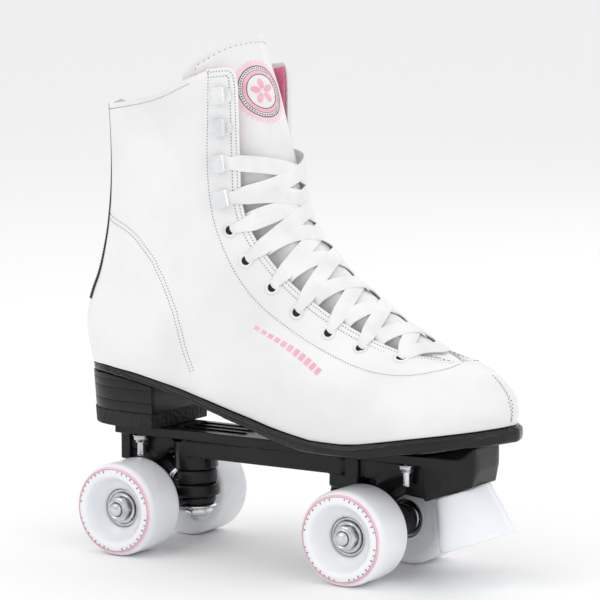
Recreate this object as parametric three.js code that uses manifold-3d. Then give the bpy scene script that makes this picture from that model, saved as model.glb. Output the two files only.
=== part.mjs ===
// Quad roller skate: a white lace-up boot on a plastic plate, with two sprung
// trucks, four wheels on ball bearings and a bolted toe stop.
// Millimetres; +X points to the toe, +Y to the left, +Z up, and the wheels stand on z = 0.
import * as THREE from 'three';
import Module from 'manifold-3d';
import { mergeVertices } from 'three/addons/utils/BufferGeometryUtils.js';

// ---- driving dimensions -------------------------------------------------
const FIT = 0.3;                 // gap between pieces that touch
const RUNNING = 0.4;             // gap between pieces that turn in each other

const WHEEL = { radius: 27, width: 32, centreY: 35.5, sides: 28, lip: 5.5 };
const AXLE = { radius: 4, halfLength: 50.1, height: 27, rearX: -92, frontX: 61 };
const BEARING = { outer: 11, inner: 6.4, race: 6, width: 7, outboard: 6.5, inboard: -7 };
const BEARING_WEB = 9.3;         // radius of the hub wall between the two bearings
const AXLE_NUT = { flats: 13, height: 6.2 };

const BARREL = { radius: 8.8, halfLength: 18.3 };
const RING = { inboard: 24.4, height: 34, radius: 12.4, hole: 7.4, half: 3.5 };
const PIVOT = { outboard: 8, height: 54.9, pin: 4.5, cup: 7.5, housing: 10.2 };
const KINGPIN = { radius: 4.5, lean: THREE.MathUtils.degToRad(4), top: 27, bottom: -18.4 };
const UPPER_CUSHION = { from: 3.8, to: 12.2, radius: 11.6 };
const LOWER_CUSHION = { from: -8.3, to: -3.8, radius: 10.2 };
const CUSHION_WASHER = { from: -10.1, to: -8.6, radius: 10.8 };
const KINGPIN_NUT = { from: -16.4, to: -10.4, flats: 14 };
const CUSHION_HOLE = 5;

const DECK = { top: 71.4, bottom: 65.6, halfWidth: 18, rearX: -114.5, frontX: 125.5 };
const WEB = { halfWidth: 9.3, bottom: 49.6, midBottom: 55.4 };
const NOSE = { halfWidth: 14, riserX: 84, topX: 125, bottomX: 123, gap: 0.6 };
const BOSS_HALF = 13;
const MOUNT = { rearX: -98, frontX: 82.3, y: 14.3, radius: 2.4, end: 53 };
const MOUNT_NUT = { flats: 8, height: 4 };

const STOP_TILT = THREE.MathUtils.degToRad(20.2);
const STOP = { x: 110.1, z: 51.1, top: 16, bottom: 22.4, height: 29.6, boltHole: 4.2 };

const LEATHER = 2.2;             // wall of the upper
const LINING = { from: -4.3, to: -5.1, cells: 20 };
const LACE = { width: 8.6, lift: 2.5, sink: 1.6, thickness: 1.3 };
const WELT = 2.5;                // how far the sole stands out past the upper
const SOLE_GAP = 0.8;
const INSOLE = { inset: 8.5, from: 1.2, to: 5.2 };
const HEEL_BREAST = 0.29;        // place of the heel's front face along the boot
const TOP_LIFT = 80.4;           // height where the heel's bottom layer starts

// The boot is a stack of closed sections. Each runs from a heel point to a toe
// point, with half widths at the stations between them, and sags at the ball.
const STATIONS = [0, 0.025, 0.10, 0.28, 0.48, 0.67, 0.82, 0.93, 0.982, 1];
const SECTIONS = [
  { back: [-136.5, 107], front: [139, 90], sag: 1.0, half: [0, 17, 28, 29.5, 33, 43.5, 40.5, 27, 12.5, 0] },
  { back: [-139.8, 120], front: [139.5, 99], sag: 0.62, half: [0, 17, 29, 32, 35.5, 44.5, 41, 27, 12.5, 0] },
  { back: [-141.4, 134], front: [136, 108], sag: 0.40, half: [0, 16, 28, 33.5, 36, 42, 37, 24, 11, 0] },
  { back: [-137.5, 148], front: [124, 119], sag: 0.22, half: [0, 15, 27, 33, 34.5, 35.5, 31, 20, 9, 0] },
  { back: [-132.5, 160], front: [98, 127], sag: 0.10, half: [0, 14, 26, 32.5, 33.5, 30, 25, 16, 8, 0] },
  { back: [-128.5, 173], front: [62, 148], sag: 0.04, half: [0, 13, 25, 33, 34, 29.5, 23, 15, 7.5, 0] },
  { back: [-124.5, 190], front: [30, 171], sag: 0, half: [0, 12.5, 24, 33.5, 35, 31, 24, 16, 8, 0] },
  { back: [-122.0, 212], front: [8, 198], sag: 0, half: [0, 12, 23.5, 33.5, 35.5, 32, 26, 18, 9, 0] },
  { back: [-121.5, 236], front: [0, 232], sag: 0, half: [0, 12, 24, 34, 36, 33.5, 28, 19.5, 10, 0] },
  { back: [-122.0, 260], front: [-4, 286], sag: 0, half: [0, 13, 25, 35, 37, 34.5, 30, 21, 11, 0] },
];
const SAG = { depth: 17.5, at: [0, 0.08, 0.16, 0.28, 0.40, 0.52, 0.62, 0.72, 0.84, 1],
  share: [0, -0.1, -0.02, 0.25, 0.62, 0.93, 1.02, 0.92, 0.5, 0] };
const TOE_SWING = { from: 10, length: 130, reach: 6 };

// Seams on the boot, as [height share, place from heel 0 to toe 1].
const COUNTER_SEAM = [[0, 0.365], [0.12, 0.365], [0.24, 0.359], [0.33, 0.352], [0.40, 0.352],
  [0.45, 0.352], [0.50, 0.354], [0.54, 0.356], [0.58, 0.353], [0.61, 0.35], [0.665, 0.32],
  [0.69, 0.28], [0.70, 0.22], [0.707, 0.15], [0.711, 0.08], [0.712, 0.03], [0.712, 0.012]];
const FACING_SEAM = [[0.385, 0.93], [0.37, 0.87], [0.33, 0.782], [0.29, 0.70], [0.287, 0.647],
  [0.31, 0.603], [0.36, 0.562], [0.44, 0.535], [0.503, 0.517], [0.577, 0.515], [0.653, 0.525],
  [0.74, 0.537], [0.80, 0.547], [0.88, 0.557], [0.94, 0.57], [1.01, 0.585]];
const OPENING_EDGE = [[0.405, 0.93], [0.41, 0.90], [0.415, 0.86], [0.425, 0.81], [0.44, 0.765],
  [0.46, 0.735], [0.485, 0.71], [0.52, 0.685], [0.56, 0.668], [0.61, 0.657], [0.675, 0.652],
  [0.75, 0.652], [0.81, 0.662], [0.885, 0.68], [0.945, 0.692], [1.01, 0.70]];
const COLLAR_EDGE = [[1, 0.003], [1, 0.03], [0.995, 0.08], [0.99, 0.15], [0.985, 0.25],
  [0.985, 0.40], [1, 0.52]];
const SOLE_EDGE = [[0, 0.46], [0, 0.55], [0, 0.66], [0, 0.77], [0, 0.87], [0, 0.94], [0, 0.997]];
const SEAM_GAP = 0.005;
// Rows of the tongue: height, place of its wing, place where it leaves the facings,
// and how far its middle stands forward of its edges. It lies back above the laces.
const TONGUE_ROWS = [
  [0.405, 0.88, 0.93, 4.6], [0.43, 0.76, 0.83, 4.6], [0.47, 0.68, 0.74, 4.6],
  [0.52, 0.64, 0.69, 4.6], [0.58, 0.61, 0.67, 4.6], [0.65, 0.59, 0.66, 4.6],
  [0.73, 0.58, 0.66, 4.6], [0.81, 0.575, 0.67, 3.4], [0.89, 0.55, 0.69, -2],
  [0.96, 0.52, 0.70, -7.5], [1, 0.49, 0.70, -11], [1.0297, 0.50, 0.70, -13]];
const TONGUE = { edge: -6.4, thickness: 2.6 };
// Rows of the lining: height, how far it reaches from the heel towards the toe.
const LINING_ROWS = [[0.07, 0.985], [0.15, 0.99], [0.24, 0.99], [0.32, 0.99], [0.375, 0.985],
  [0.40, 0.90], [0.43, 0.79], [0.47, 0.72], [0.52, 0.675], [0.58, 0.65], [0.65, 0.64], [0.73, 0.64],
  [0.81, 0.65], [0.89, 0.67], [0.95, 0.68], [0.985, 0.69]];
// Where the lace passes each side: seven eyelets, then the two lower hooks.
const LACE_POINTS = [[0.397, 0.723], [0.427, 0.66], [0.47, 0.623], [0.52, 0.595], [0.587, 0.59],
  [0.657, 0.578], [0.733, 0.583], [0.807, 0.608], [0.877, 0.615]];

const COLOUR = { leather: 0xf1f1f1, lining: 0xe2607f, black: 0x121213, rubber: 0x1b1b1c, lace: 0xf6f6f6,
  urethane: 0xe9edf4, zinc: 0xc9cbcf, steel: 0xa9abb0, insole: 0xd9d4cf };

// ---- solids ---------------------------------------------------------------
const wasm = await Module();
wasm.setup();
const skate = new THREE.Group();

function signedVolume(geometry) {
  const p = geometry.attributes.position;
  const [a, b, c] = [new THREE.Vector3(), new THREE.Vector3(), new THREE.Vector3()];
  let sum = 0;
  for (let i = 0; i < geometry.index.count; i += 3) {
    a.fromBufferAttribute(p, geometry.index.getX(i));
    b.fromBufferAttribute(p, geometry.index.getX(i + 1));
    c.fromBufferAttribute(p, geometry.index.getX(i + 2));
    sum += a.dot(b.cross(c));
  }
  return sum;
}

// Shared corners, position only, and faces that point out.
function closed(geometry) {
  geometry.deleteAttribute('normal');
  geometry.deleteAttribute('uv');
  const merged = mergeVertices(geometry, 1e-4);
  if (signedVolume(merged) < 0) merged.index.array.reverse();
  return merged;
}

function toManifold(geometry) {
  const shape = closed(geometry);
  return new wasm.Manifold(new wasm.Mesh({ numProp: 3,
    vertProperties: new Float32Array(shape.attributes.position.array),
    triVerts: new Uint32Array(shape.index.array) }));
}

function fromManifold(manifold) {
  const mesh = manifold.getMesh();
  const geometry = new THREE.BufferGeometry();
  geometry.setAttribute('position', new THREE.BufferAttribute(mesh.vertProperties, 3));
  geometry.setIndex(new THREE.BufferAttribute(mesh.triVerts, 1));
  return geometry;
}

function shaped(base, joins, cuts = []) {
  let body = toManifold(base);
  for (const piece of joins) body = body.add(toManifold(piece));
  for (const piece of cuts) body = body.subtract(toManifold(piece));
  return fromManifold(body);
}

function add(name, geometry, colour, roughness, metalness = 0) {
  const shape = closed(geometry);
  shape.computeVertexNormals();
  const mesh = new THREE.Mesh(shape, new THREE.MeshStandardMaterial({ color: colour, roughness, metalness }));
  mesh.name = name;
  skate.add(mesh);
  return mesh;
}

// A cylinder or cone between two points.
function rod(from, to, radius, sides, endRadius = radius) {
  const along = to.clone().sub(from);
  const geometry = new THREE.CylinderGeometry(endRadius, radius, along.length(), sides);
  geometry.applyQuaternion(new THREE.Quaternion().setFromUnitVectors(
    new THREE.Vector3(0, 1, 0), along.clone().normalize()));
  const middle = from.clone().add(to).multiplyScalar(0.5);
  return geometry.translate(middle.x, middle.y, middle.z);
}

function box(x, y, z) {
  return new THREE.BoxGeometry(x[1] - x[0], y[1] - y[0], z[1] - z[0])
    .translate((x[0] + x[1]) / 2, (y[0] + y[1]) / 2, (z[0] + z[1]) / 2);
}

// A ring or washer along +Y, from its inner and outer radius.
function sleeve(inner, outer, from, to, sides) {
  const outline = [[inner, from], [outer, from], [outer, to], [inner, to], [inner, from]];
  return new THREE.LatheGeometry(outline.map(([r, y]) => new THREE.Vector2(r, y)), sides);
}

// A hexagon nut along +Z with a round hole.
function hexNut(flats, hole, height, holeSides = 16) {
  const corner = flats / 2 / Math.cos(Math.PI / 6);
  const shape = new THREE.Shape();
  for (let i = 0; i < 6; i += 1) {
    const turn = i * Math.PI / 3;
    const point = [corner * Math.cos(turn), corner * Math.sin(turn)];
    if (i === 0) shape.moveTo(...point);
    else shape.lineTo(...point);
  }
  shape.closePath();
  const round = new THREE.Path();
  round.absarc(0, 0, hole, 0, 2 * Math.PI, true);
  shape.holes.push(round);
  return new THREE.ExtrudeGeometry(shape, { depth: height, bevelEnabled: false, curveSegments: holeSides / 2 });
}

// ---- boot surface -----------------------------------------------------------
// Smooth curve through evenly spaced values; past either end it runs on straight.
function smooth(values, share) {
  const last = values.length - 1;
  const x = share * last;
  const i = Math.min(Math.max(Math.floor(x), 0), last - 1);
  const f = x - i;
  const [b, c] = [values[i], values[i + 1]];
  const a = i > 0 ? values[i - 1] : 2 * b - c;
  const d = i + 2 <= last ? values[i + 2] : 2 * c - b;
  if (f > 1) return c + (f - 1) * (c - b);
  return 0.5 * (2 * b + (c - a) * f + (2 * a - 5 * b + 4 * c - d) * f * f + (3 * b - a - 3 * c + d) * f ** 3);
}

function table(at, values, x) {
  const i = Math.max(1, at.findIndex((edge) => edge >= x));
  const f = THREE.MathUtils.clamp((x - at[i - 1]) / (at[i] - at[i - 1]), 0, 1);
  return values[i - 1] + f * (values[i] - values[i - 1]);
}

const channel = (pick) => SECTIONS.map(pick);
const BACK_X = channel((s) => s.back[0]);
const BACK_Z = channel((s) => s.back[1]);
const FRONT_X = channel((s) => s.front[0]);
const FRONT_Z = channel((s) => s.front[1]);
const SAGS = channel((s) => s.sag);
const HALVES = STATIONS.map((_, k) => channel((s) => s.half[k]));

// The upper's outer surface: height share v, and a place around it, 0 at the
// heel and +1 or -1 at the toe, positive on the left.
function surface(v, around) {
  const wrapped = around > 1 ? around - 2 : around < -1 ? around + 2 : around;
  const place = Math.abs(wrapped);
  const station = smooth(STATIONS, place);
  const half = Math.max(0, smooth(HALVES.map((row) => smooth(row, v)), place));
  const [bx, bz, fx, fz] = [BACK_X, BACK_Z, FRONT_X, FRONT_Z].map((row) => smooth(row, v));
  const x = bx + (fx - bx) * station;
  const z = bz + (fz - bz) * station - SAG.depth * smooth(SAGS, v) * table(SAG.at, SAG.share, station);
  const swing = TOE_SWING.reach * Math.max(0, (x - TOE_SWING.from) / TOE_SWING.length) ** 2;
  return new THREE.Vector3(x, Math.sign(wrapped) * half + swing, z);
}

function outward(v, around) {
  const step = 0.012;
  const up = surface(v + step, around).sub(surface(v - step, around));
  const round = surface(v, around + step).sub(surface(v, around - step));
  return up.cross(round).normalize();
}

function offset(v, around, distance) {
  return surface(v, around).addScaledVector(outward(v, around), distance);
}

// A curved plate: place(u, v, w) gives the point for each share of its width,
// length and thickness.
function plateOf(across, along, place) {
  const geometry = new THREE.BoxGeometry(1, 1, 1, across, along, 1);
  const p = geometry.attributes.position;
  for (let i = 0; i < p.count; i += 1) {
    p.setXYZ(i, ...place(p.getX(i) + 0.5, p.getY(i) + 0.5, p.getZ(i) + 0.5).toArray());
  }
  return geometry;
}

const mix = THREE.MathUtils.lerp;
const rowAt = (rows, share) => rows[Math.round(share * (rows.length - 1))];

// Leather between two matched seams on one side of the boot.
function panel(side, fromSeam, toSeam, rows, outer = 0, inner = -LEATHER) {
  return plateOf(fromSeam.length - 1, rows, (u, v, w) => {
    const [a, b] = [rowAt(fromSeam, u), rowAt(toSeam, u)];
    return offset(mix(a[0], b[0], v), side * mix(a[1], b[1], v), mix(inner, outer, w));
  });
}

const shifted = (seam, dv, dt) => seam.map(([v, t]) => [v + dv, t + dt]);

// ---- boot -----------------------------------------------------------------
function addUpper() {
  const behind = [...COUNTER_SEAM].reverse().concat(SOLE_EDGE);
  const facing = shifted([...FACING_SEAM].reverse(), -SEAM_GAP, -SEAM_GAP);
  const top = [...COLLAR_EDGE, ...facing, [0.39, 0.997]];
  for (const [name, side] of [['left', 1], ['right', -1]]) {
    add(`${name}_quarter`, panel(side, behind, top, 8), COLOUR.leather, 0.42);
    add(`${name}_facing`, panel(side, FACING_SEAM, OPENING_EDGE, 3, 0.4), COLOUR.leather, 0.42);
  }
  const seam = shifted(COUNTER_SEAM, -SEAM_GAP, -SEAM_GAP);
  add('heel_counter', plateOf(10, seam.length - 1, (u, v, w) => {
    const [height, place] = rowAt(seam, v);
    return offset(Math.max(0, height), mix(-1, 1, u) * Math.abs(place), mix(-LEATHER, 0, w));
  }), COLOUR.leather, 0.42);
}

function addTongue() {
  add('tongue', plateOf(12, TONGUE_ROWS.length - 1, (u, v, w) => {
    const [height, wing, opening, forward] = rowAt(TONGUE_ROWS, v);
    const around = 1 + mix(-1, 1, u) * (1 - wing);
    const place = around > 1 ? 2 - around : around;
    const rise = forward * THREE.MathUtils.smoothstep(place, opening, 1);
    return offset(height, around, TONGUE.edge + rise - w * TONGUE.thickness);
  }), COLOUR.leather, 0.5);
}

function addLining() {
  add('lining', plateOf(LINING.cells, LINING_ROWS.length - 1, (u, v, w) => {
    const [height, reach] = rowAt(LINING_ROWS, v);
    return offset(height, mix(-reach, reach, u), mix(LINING.to, LINING.from, w));
  }), COLOUR.lining, 0.9);
}

// A point of the sole's plan: the upper's lower edge moved out sideways.
function solePoint(place, side, out) {
  const edge = surface(0, side * place);
  const flat = outward(0, side * place).setZ(0).normalize();
  return edge.addScaledVector(flat, out);
}

// A flat piece under the foot, between two places from heel to toe.
function soleSlab(from, to, cells, out, heights, shrink = () => 1) {
  return plateOf(4, cells, (u, v, w) => {
    const place = mix(from, to, v);
    const right = solePoint(place, -1, out);
    const left = solePoint(place, 1, out);
    const point = right.clone().lerp(left, u);
    const height = heights(place, surface(0, place).z);
    const z = mix(height[0], height[1], w);
    const scale = shrink(z);
    const breast = surface(0, HEEL_BREAST).x;
    return new THREE.Vector3(breast + (point.x - breast) * scale, point.y * scale, z);
  });
}

const soleThickness = (place) => table([0, 0.35, 0.5, 0.6, 0.8, 1], [4.2, 4.5, 6.4, 7.2, 7.8, 9], place);
const soleUnder = (place, edge) => Math.max(edge - SOLE_GAP - soleThickness(place), DECK.top + FIT);

function addSole() {
  add('insole', soleSlab(0.06, 0.95, 22, -INSOLE.inset,
    (place, edge) => [edge + INSOLE.from, edge + INSOLE.to]), COLOUR.insole, 0.9);
  add('outsole', soleSlab(0.004, 0.996, 30, WELT,
    (place, edge) => [soleUnder(place, edge), edge - SOLE_GAP]), COLOUR.black, 0.35);
  const taper = (z) => mix(0.957, 1, THREE.MathUtils.clamp((z - DECK.top) / 32, 0, 1));
  add('heel_block', soleSlab(0.004, HEEL_BREAST, 12, 0,
    (place, edge) => [TOP_LIFT + FIT, soleUnder(place, edge) - FIT], taper), COLOUR.black, 0.4);
  add('heel_top_lift', soleSlab(0.004, HEEL_BREAST, 12, 0,
    () => [DECK.top + FIT, TOP_LIFT], taper), COLOUR.rubber, 0.8);
}

// One run of lace between a point on each side, across the front of the boot.
function laceRun(start, end, side) {
  return plateOf(1, 5, (u, v, w) => {
    const place = mix(start[1], 2 - end[1], v);
    const height = mix(start[0], end[0], v);
    const dip = LACE.sink * Math.sin(Math.PI * v) ** 2;
    const point = offset(height, side * place, LACE.lift - dip + LACE.thickness * w);
    const ahead = surface(height + 0.01, side * place).sub(surface(height - 0.01, side * place)).normalize();
    return point.addScaledVector(ahead, mix(-LACE.width / 2, LACE.width / 2, u));
  });
}

function addLace() {
  const runs = [];
  for (let i = 0; i + 1 < LACE_POINTS.length; i += 1) {
    runs.push(laceRun(LACE_POINTS[i], LACE_POINTS[i + 1], 1));
    runs.push(laceRun(LACE_POINTS[i], LACE_POINTS[i + 1], -1));
  }
  const throat = laceRun(LACE_POINTS[0], LACE_POINTS[0], 1);
  add('lace', shaped(throat, runs), COLOUR.lace, 0.95);
}

// ---- chassis --------------------------------------------------------------
const at = (x, y, z) => new THREE.Vector3(x, y, z);

// The places of one truck. "outboard" is +1 at the toe end and -1 at the heel end.
function truckFrame(axleX, outboard) {
  const ringCentre = at(axleX - outboard * RING.inboard, 0, RING.height);
  const pivot = at(axleX + outboard * PIVOT.outboard, 0, PIVOT.height);
  const kingpinUp = at(outboard * Math.sin(KINGPIN.lean), 0, Math.cos(KINGPIN.lean));
  return { axleX, outboard, ringCentre, pivot, kingpinUp,
    steer: pivot.clone().sub(ringCentre).normalize(),
    onKingpin: (s) => ringCentre.clone().addScaledVector(kingpinUp, s) };
}

const REAR = truckFrame(AXLE.rearX, -1);
const FRONT = truckFrame(AXLE.frontX, 1);
const onSteer = (truck, s) => truck.pivot.clone().addScaledVector(truck.steer, s);

function extrudeSide(outline, halfWidth) {
  const shape = new THREE.Shape(outline.map(([x, z]) => new THREE.Vector2(x, z)));
  const geometry = new THREE.ExtrudeGeometry(shape, { depth: 2 * halfWidth, bevelEnabled: false });
  return geometry.rotateX(Math.PI / 2).translate(0, halfWidth, 0);
}

function roundedDeck() {
  const corner = 9;
  const [x0, x1, y] = [DECK.rearX, DECK.frontX, DECK.halfWidth];
  const shape = new THREE.Shape();
  shape.moveTo(x0, -y);
  shape.lineTo(x1 - corner, -y);
  shape.absarc(x1 - corner, -y + corner, corner, -Math.PI / 2, 0);
  shape.absarc(x1 - corner, y - corner, corner, 0, Math.PI / 2);
  shape.lineTo(x0, y);
  shape.closePath();
  const depth = DECK.top - DECK.bottom;
  return new THREE.ExtrudeGeometry(shape, { depth, bevelEnabled: false, curveSegments: 5 })
    .translate(0, 0, DECK.bottom);
}

function addPlate() {
  const under = DECK.bottom + 1;
  const stopFace = (x) => STOP.z + FIT + (x - STOP.x) * Math.tan(STOP_TILT);
  const nose = extrudeSide([[93, stopFace(93)], [NOSE.bottomX, stopFace(NOSE.bottomX)], [NOSE.topX, under],
    [93, under]], NOSE.halfWidth);
  const stem = extrudeSide([[78, 47], [93.5, stopFace(93.5)], [93.5, under], [78, under]], WEB.halfWidth);
  const rearWeb = extrudeSide([[-112.6, WEB.bottom], [-89, WEB.bottom], [-80, WEB.midBottom + 3],
    [-80, under], [-114, under]], WEB.halfWidth);
  const frontWeb = box([46, 80], [-WEB.halfWidth, WEB.halfWidth], [WEB.bottom + 4, under]);
  const rearWall = box([-113.4, -107], [-BOSS_HALF, BOSS_HALF], [WEB.bottom, under]);
  const midWeb = box([-66, 40], [-15, 15], [WEB.midBottom, under]);
  const frontBoss = box([30.5, 49.5], [-BOSS_HALF, BOSS_HALF], [48.2, under]);
  const joins = [nose, noseRiser(), stem, rearWeb, frontWeb, rearWall, midWeb, frontBoss];
  const cuts = [];
  for (const truck of [REAR, FRONT]) {
    joins.push(rod(truck.onKingpin(UPPER_CUSHION.to + FIT), truck.onKingpin(30), BOSS_HALF - 0.2, 20));
    joins.push(rod(onSteer(truck, -10), onSteer(truck, 9), PIVOT.housing, 16));
    cuts.push(rod(onSteer(truck, -16), onSteer(truck, 6), PIVOT.cup + FIT, 16));
    cuts.push(rod(truck.onKingpin(0), truck.onKingpin(KINGPIN.top + FIT), KINGPIN.radius + FIT, 16));
    cuts.push(rod(truck.onKingpin(0), truck.onKingpin(UPPER_CUSHION.to + FIT), BOSS_HALF + 1, 20));
  }
  for (const { x, y } of mountPlaces()) {
    cuts.push(rod(at(x, y, DECK.bottom - 1), at(x, y, DECK.top + 1), MOUNT.radius + FIT, 12));
  }
  cuts.push(stopAxisRod(-1, STOP_BOLT.reach + FIT, STOP.boltHole));
  add('plate', shaped(roundedDeck(), joins, cuts), COLOUR.black, 0.3);
}

// The nose rises under the toe to carry the sole, which curves up there.
function noseRiser() {
  const outline = [[NOSE.riserX, DECK.top - 1]];
  const sole = [0.80, 0.83, 0.86, 0.89, 0.92, 0.95, 0.98].map((place) => {
    const edge = surface(0, place);
    return [edge.x, soleUnder(place, edge.z) - NOSE.gap];
  }).filter(([x]) => x > NOSE.riserX && x < NOSE.topX);
  const last = sole[sole.length - 1];
  return extrudeSide([...outline, [NOSE.topX, DECK.top - 1], [NOSE.topX, last[1]], ...sole.reverse()],
    NOSE.halfWidth);
}

function mountPlaces() {
  const places = [];
  for (const [end, x] of [['rear', MOUNT.rearX], ['front', MOUNT.frontX]]) {
    for (const [name, side] of [['right', -1], ['left', 1]]) {
      places.push({ name: `${end}_${name}`, x, y: side * MOUNT.y });
    }
  }
  return places;
}

// Each mounting bolt hangs from the sole through the deck and takes a nut below it.
function addMountBolts() {
  for (const { name, x, y } of mountPlaces()) {
    const bolt = rod(at(x, y, MOUNT.end), at(x, y, DECK.top), MOUNT.radius, 12);
    add(`${name}_mount_bolt`, bolt, COLOUR.zinc, 0.3, 1);
    const nut = hexNut(MOUNT_NUT.flats, MOUNT.radius + FIT, MOUNT_NUT.height, 12);
    nut.translate(x, y, DECK.bottom - FIT - MOUNT_NUT.height);
    add(`${name}_mount_nut`, nut, COLOUR.zinc, 0.3, 1);
  }
}

// ---- toe stop ---------------------------------------------------------------
const STOP_DOWN = at(Math.sin(STOP_TILT), 0, -Math.cos(STOP_TILT));
const STOP_BOLT = { radius: 3.8, reach: 13, head: 6.5, headHeight: 5, recess: 9 };

function stopPoint(s) {
  return at(STOP.x, 0, STOP.z).addScaledVector(STOP_DOWN, s);
}

function stopAxisRod(from, up, radius) {
  return rod(stopPoint(-from), stopPoint(-up), radius, 16);
}

function addToeStop() {
  const body = rod(stopPoint(0), stopPoint(STOP.height), STOP.top, 28, STOP.bottom);
  const hole = rod(stopPoint(-1), stopPoint(STOP.height + 1), STOP.boltHole, 16);
  const recess = rod(stopPoint(STOP.height - STOP_BOLT.recess), stopPoint(STOP.height + 1), 9, 16);
  add('toe_stop', shaped(body, [], [hole, recess]), COLOUR.urethane, 0.25);
  const headTop = STOP.height - STOP_BOLT.recess + FIT;
  const shank = rod(stopPoint(-STOP_BOLT.reach), stopPoint(headTop + 1), STOP_BOLT.radius, 16);
  const head = rod(stopPoint(headTop), stopPoint(headTop + STOP_BOLT.headHeight), STOP_BOLT.head, 16);
  add('toe_stop_bolt', shaped(shank, [head]), COLOUR.zinc, 0.3, 1);
}

// ---- trucks -----------------------------------------------------------------
function addHanger(truck, name) {
  const side = truck.outboard;
  const ringBody = rod(truck.onKingpin(-RING.half), truck.onKingpin(RING.half), RING.radius, 20);
  const barrel = rod(at(truck.axleX, -BARREL.halfLength, AXLE.height),
    at(truck.axleX, BARREL.halfLength, AXLE.height), BARREL.radius, 20);
  const pin = rod(onSteer(truck, -20), onSteer(truck, 4), PIVOT.pin, 12);
  const inboard = truck.axleX - side * 15;
  const web = extrudeSide([[truck.axleX - side * 2, AXLE.height - 5], [inboard, AXLE.height + 3.5],
    [inboard, AXLE.height + 10.3], [truck.axleX - side * 4.5, 46.2], [truck.axleX + side * 3, 44],
    [truck.axleX + side * 3, AXLE.height]], 7);
  const cuts = [rod(truck.onKingpin(-RING.half - 8), truck.onKingpin(RING.half + 8), RING.hole, 20),
    rod(at(truck.axleX, -30, AXLE.height), at(truck.axleX, 30, AXLE.height), AXLE.radius + FIT, 16)];
  const clearAbove = rod(truck.onKingpin(RING.half), truck.onKingpin(RING.half + 20), BOSS_HALF + 1.5, 20);
  add(`${name}_truck`, shaped(barrel, [ringBody, web, pin], [...cuts, clearAbove]), COLOUR.black, 0.35);
}

function addTruck(truck, name) {
  addHanger(truck, name);
  const ring = ({ from, to, radius }) => {
    const geometry = sleeve(CUSHION_HOLE, radius, from, to, 20);
    geometry.applyQuaternion(new THREE.Quaternion().setFromUnitVectors(at(0, 1, 0), truck.kingpinUp));
    return geometry.translate(...truck.ringCentre.toArray());
  };
  add(`${name}_upper_cushion`, ring(UPPER_CUSHION), COLOUR.rubber, 0.6);
  add(`${name}_lower_cushion`, ring(LOWER_CUSHION), COLOUR.rubber, 0.6);
  add(`${name}_cushion_washer`, ring(CUSHION_WASHER), COLOUR.zinc, 0.3, 1);
  add(`${name}_kingpin`, rod(truck.onKingpin(KINGPIN.bottom), truck.onKingpin(KINGPIN.top), KINGPIN.radius, 16),
    COLOUR.zinc, 0.3, 1);
  const nut = hexNut(KINGPIN_NUT.flats, KINGPIN.radius + FIT, KINGPIN_NUT.to - KINGPIN_NUT.from);
  nut.applyQuaternion(new THREE.Quaternion().setFromUnitVectors(at(0, 0, 1), truck.kingpinUp));
  nut.translate(...truck.onKingpin(KINGPIN_NUT.from).toArray());
  add(`${name}_kingpin_nut`, nut, COLOUR.zinc, 0.3, 1);
  addPivotCup(truck, name);
  add(`${name}_axle`, rod(at(truck.axleX, -AXLE.halfLength, AXLE.height),
    at(truck.axleX, AXLE.halfLength, AXLE.height), AXLE.radius, 16), COLOUR.zinc, 0.3, 1);
}

// The rubber cup that the truck's pivot pin turns in.
function addPivotCup(truck, name) {
  const bore = PIVOT.pin + RUNNING;
  const outline = [[0, 5.7], [PIVOT.cup, 5.7], [PIVOT.cup, -6], [bore, -6], [bore, 4.4], [0, 4.4]];
  const cup = new THREE.LatheGeometry(outline.map(([r, y]) => new THREE.Vector2(r, y)), 16);
  cup.applyQuaternion(new THREE.Quaternion().setFromUnitVectors(at(0, 1, 0), truck.steer));
  add(`${name}_pivot_cup`, cup.translate(...truck.pivot.toArray()), COLOUR.rubber, 0.7);
}

// ---- wheels -----------------------------------------------------------------
// Half section of a wheel, as [radius, distance outboard of its middle].
function wheelOutline() {
  const half = WHEEL.width / 2;
  const seat = BEARING.outer + FIT;
  const rim = WHEEL.radius - WHEEL.lip;
  const outline = [[seat, -half], [BEARING.outer + 4, -half]];
  for (const turn of [0, 45, 90]) {
    const angle = THREE.MathUtils.degToRad(turn);
    outline.push([rim + WHEEL.lip * Math.sin(angle), -half + WHEEL.lip * (1 - Math.cos(angle))]);
  }
  for (const turn of [90, 45, 0]) {
    const angle = THREE.MathUtils.degToRad(turn);
    outline.push([rim + WHEEL.lip * Math.sin(angle), half - WHEEL.lip * (1 - Math.cos(angle))]);
  }
  outline.push([18, half - 3.4], [14.2, BEARING.outboard + 1.6], [seat, BEARING.outboard + 0.4],
    [seat, -FIT - 0.5], [BEARING_WEB, -FIT - 0.5], [BEARING_WEB, BEARING.inboard + FIT],
    [seat, BEARING.inboard + FIT],
    [seat, -half]);
  return outline;
}

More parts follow.
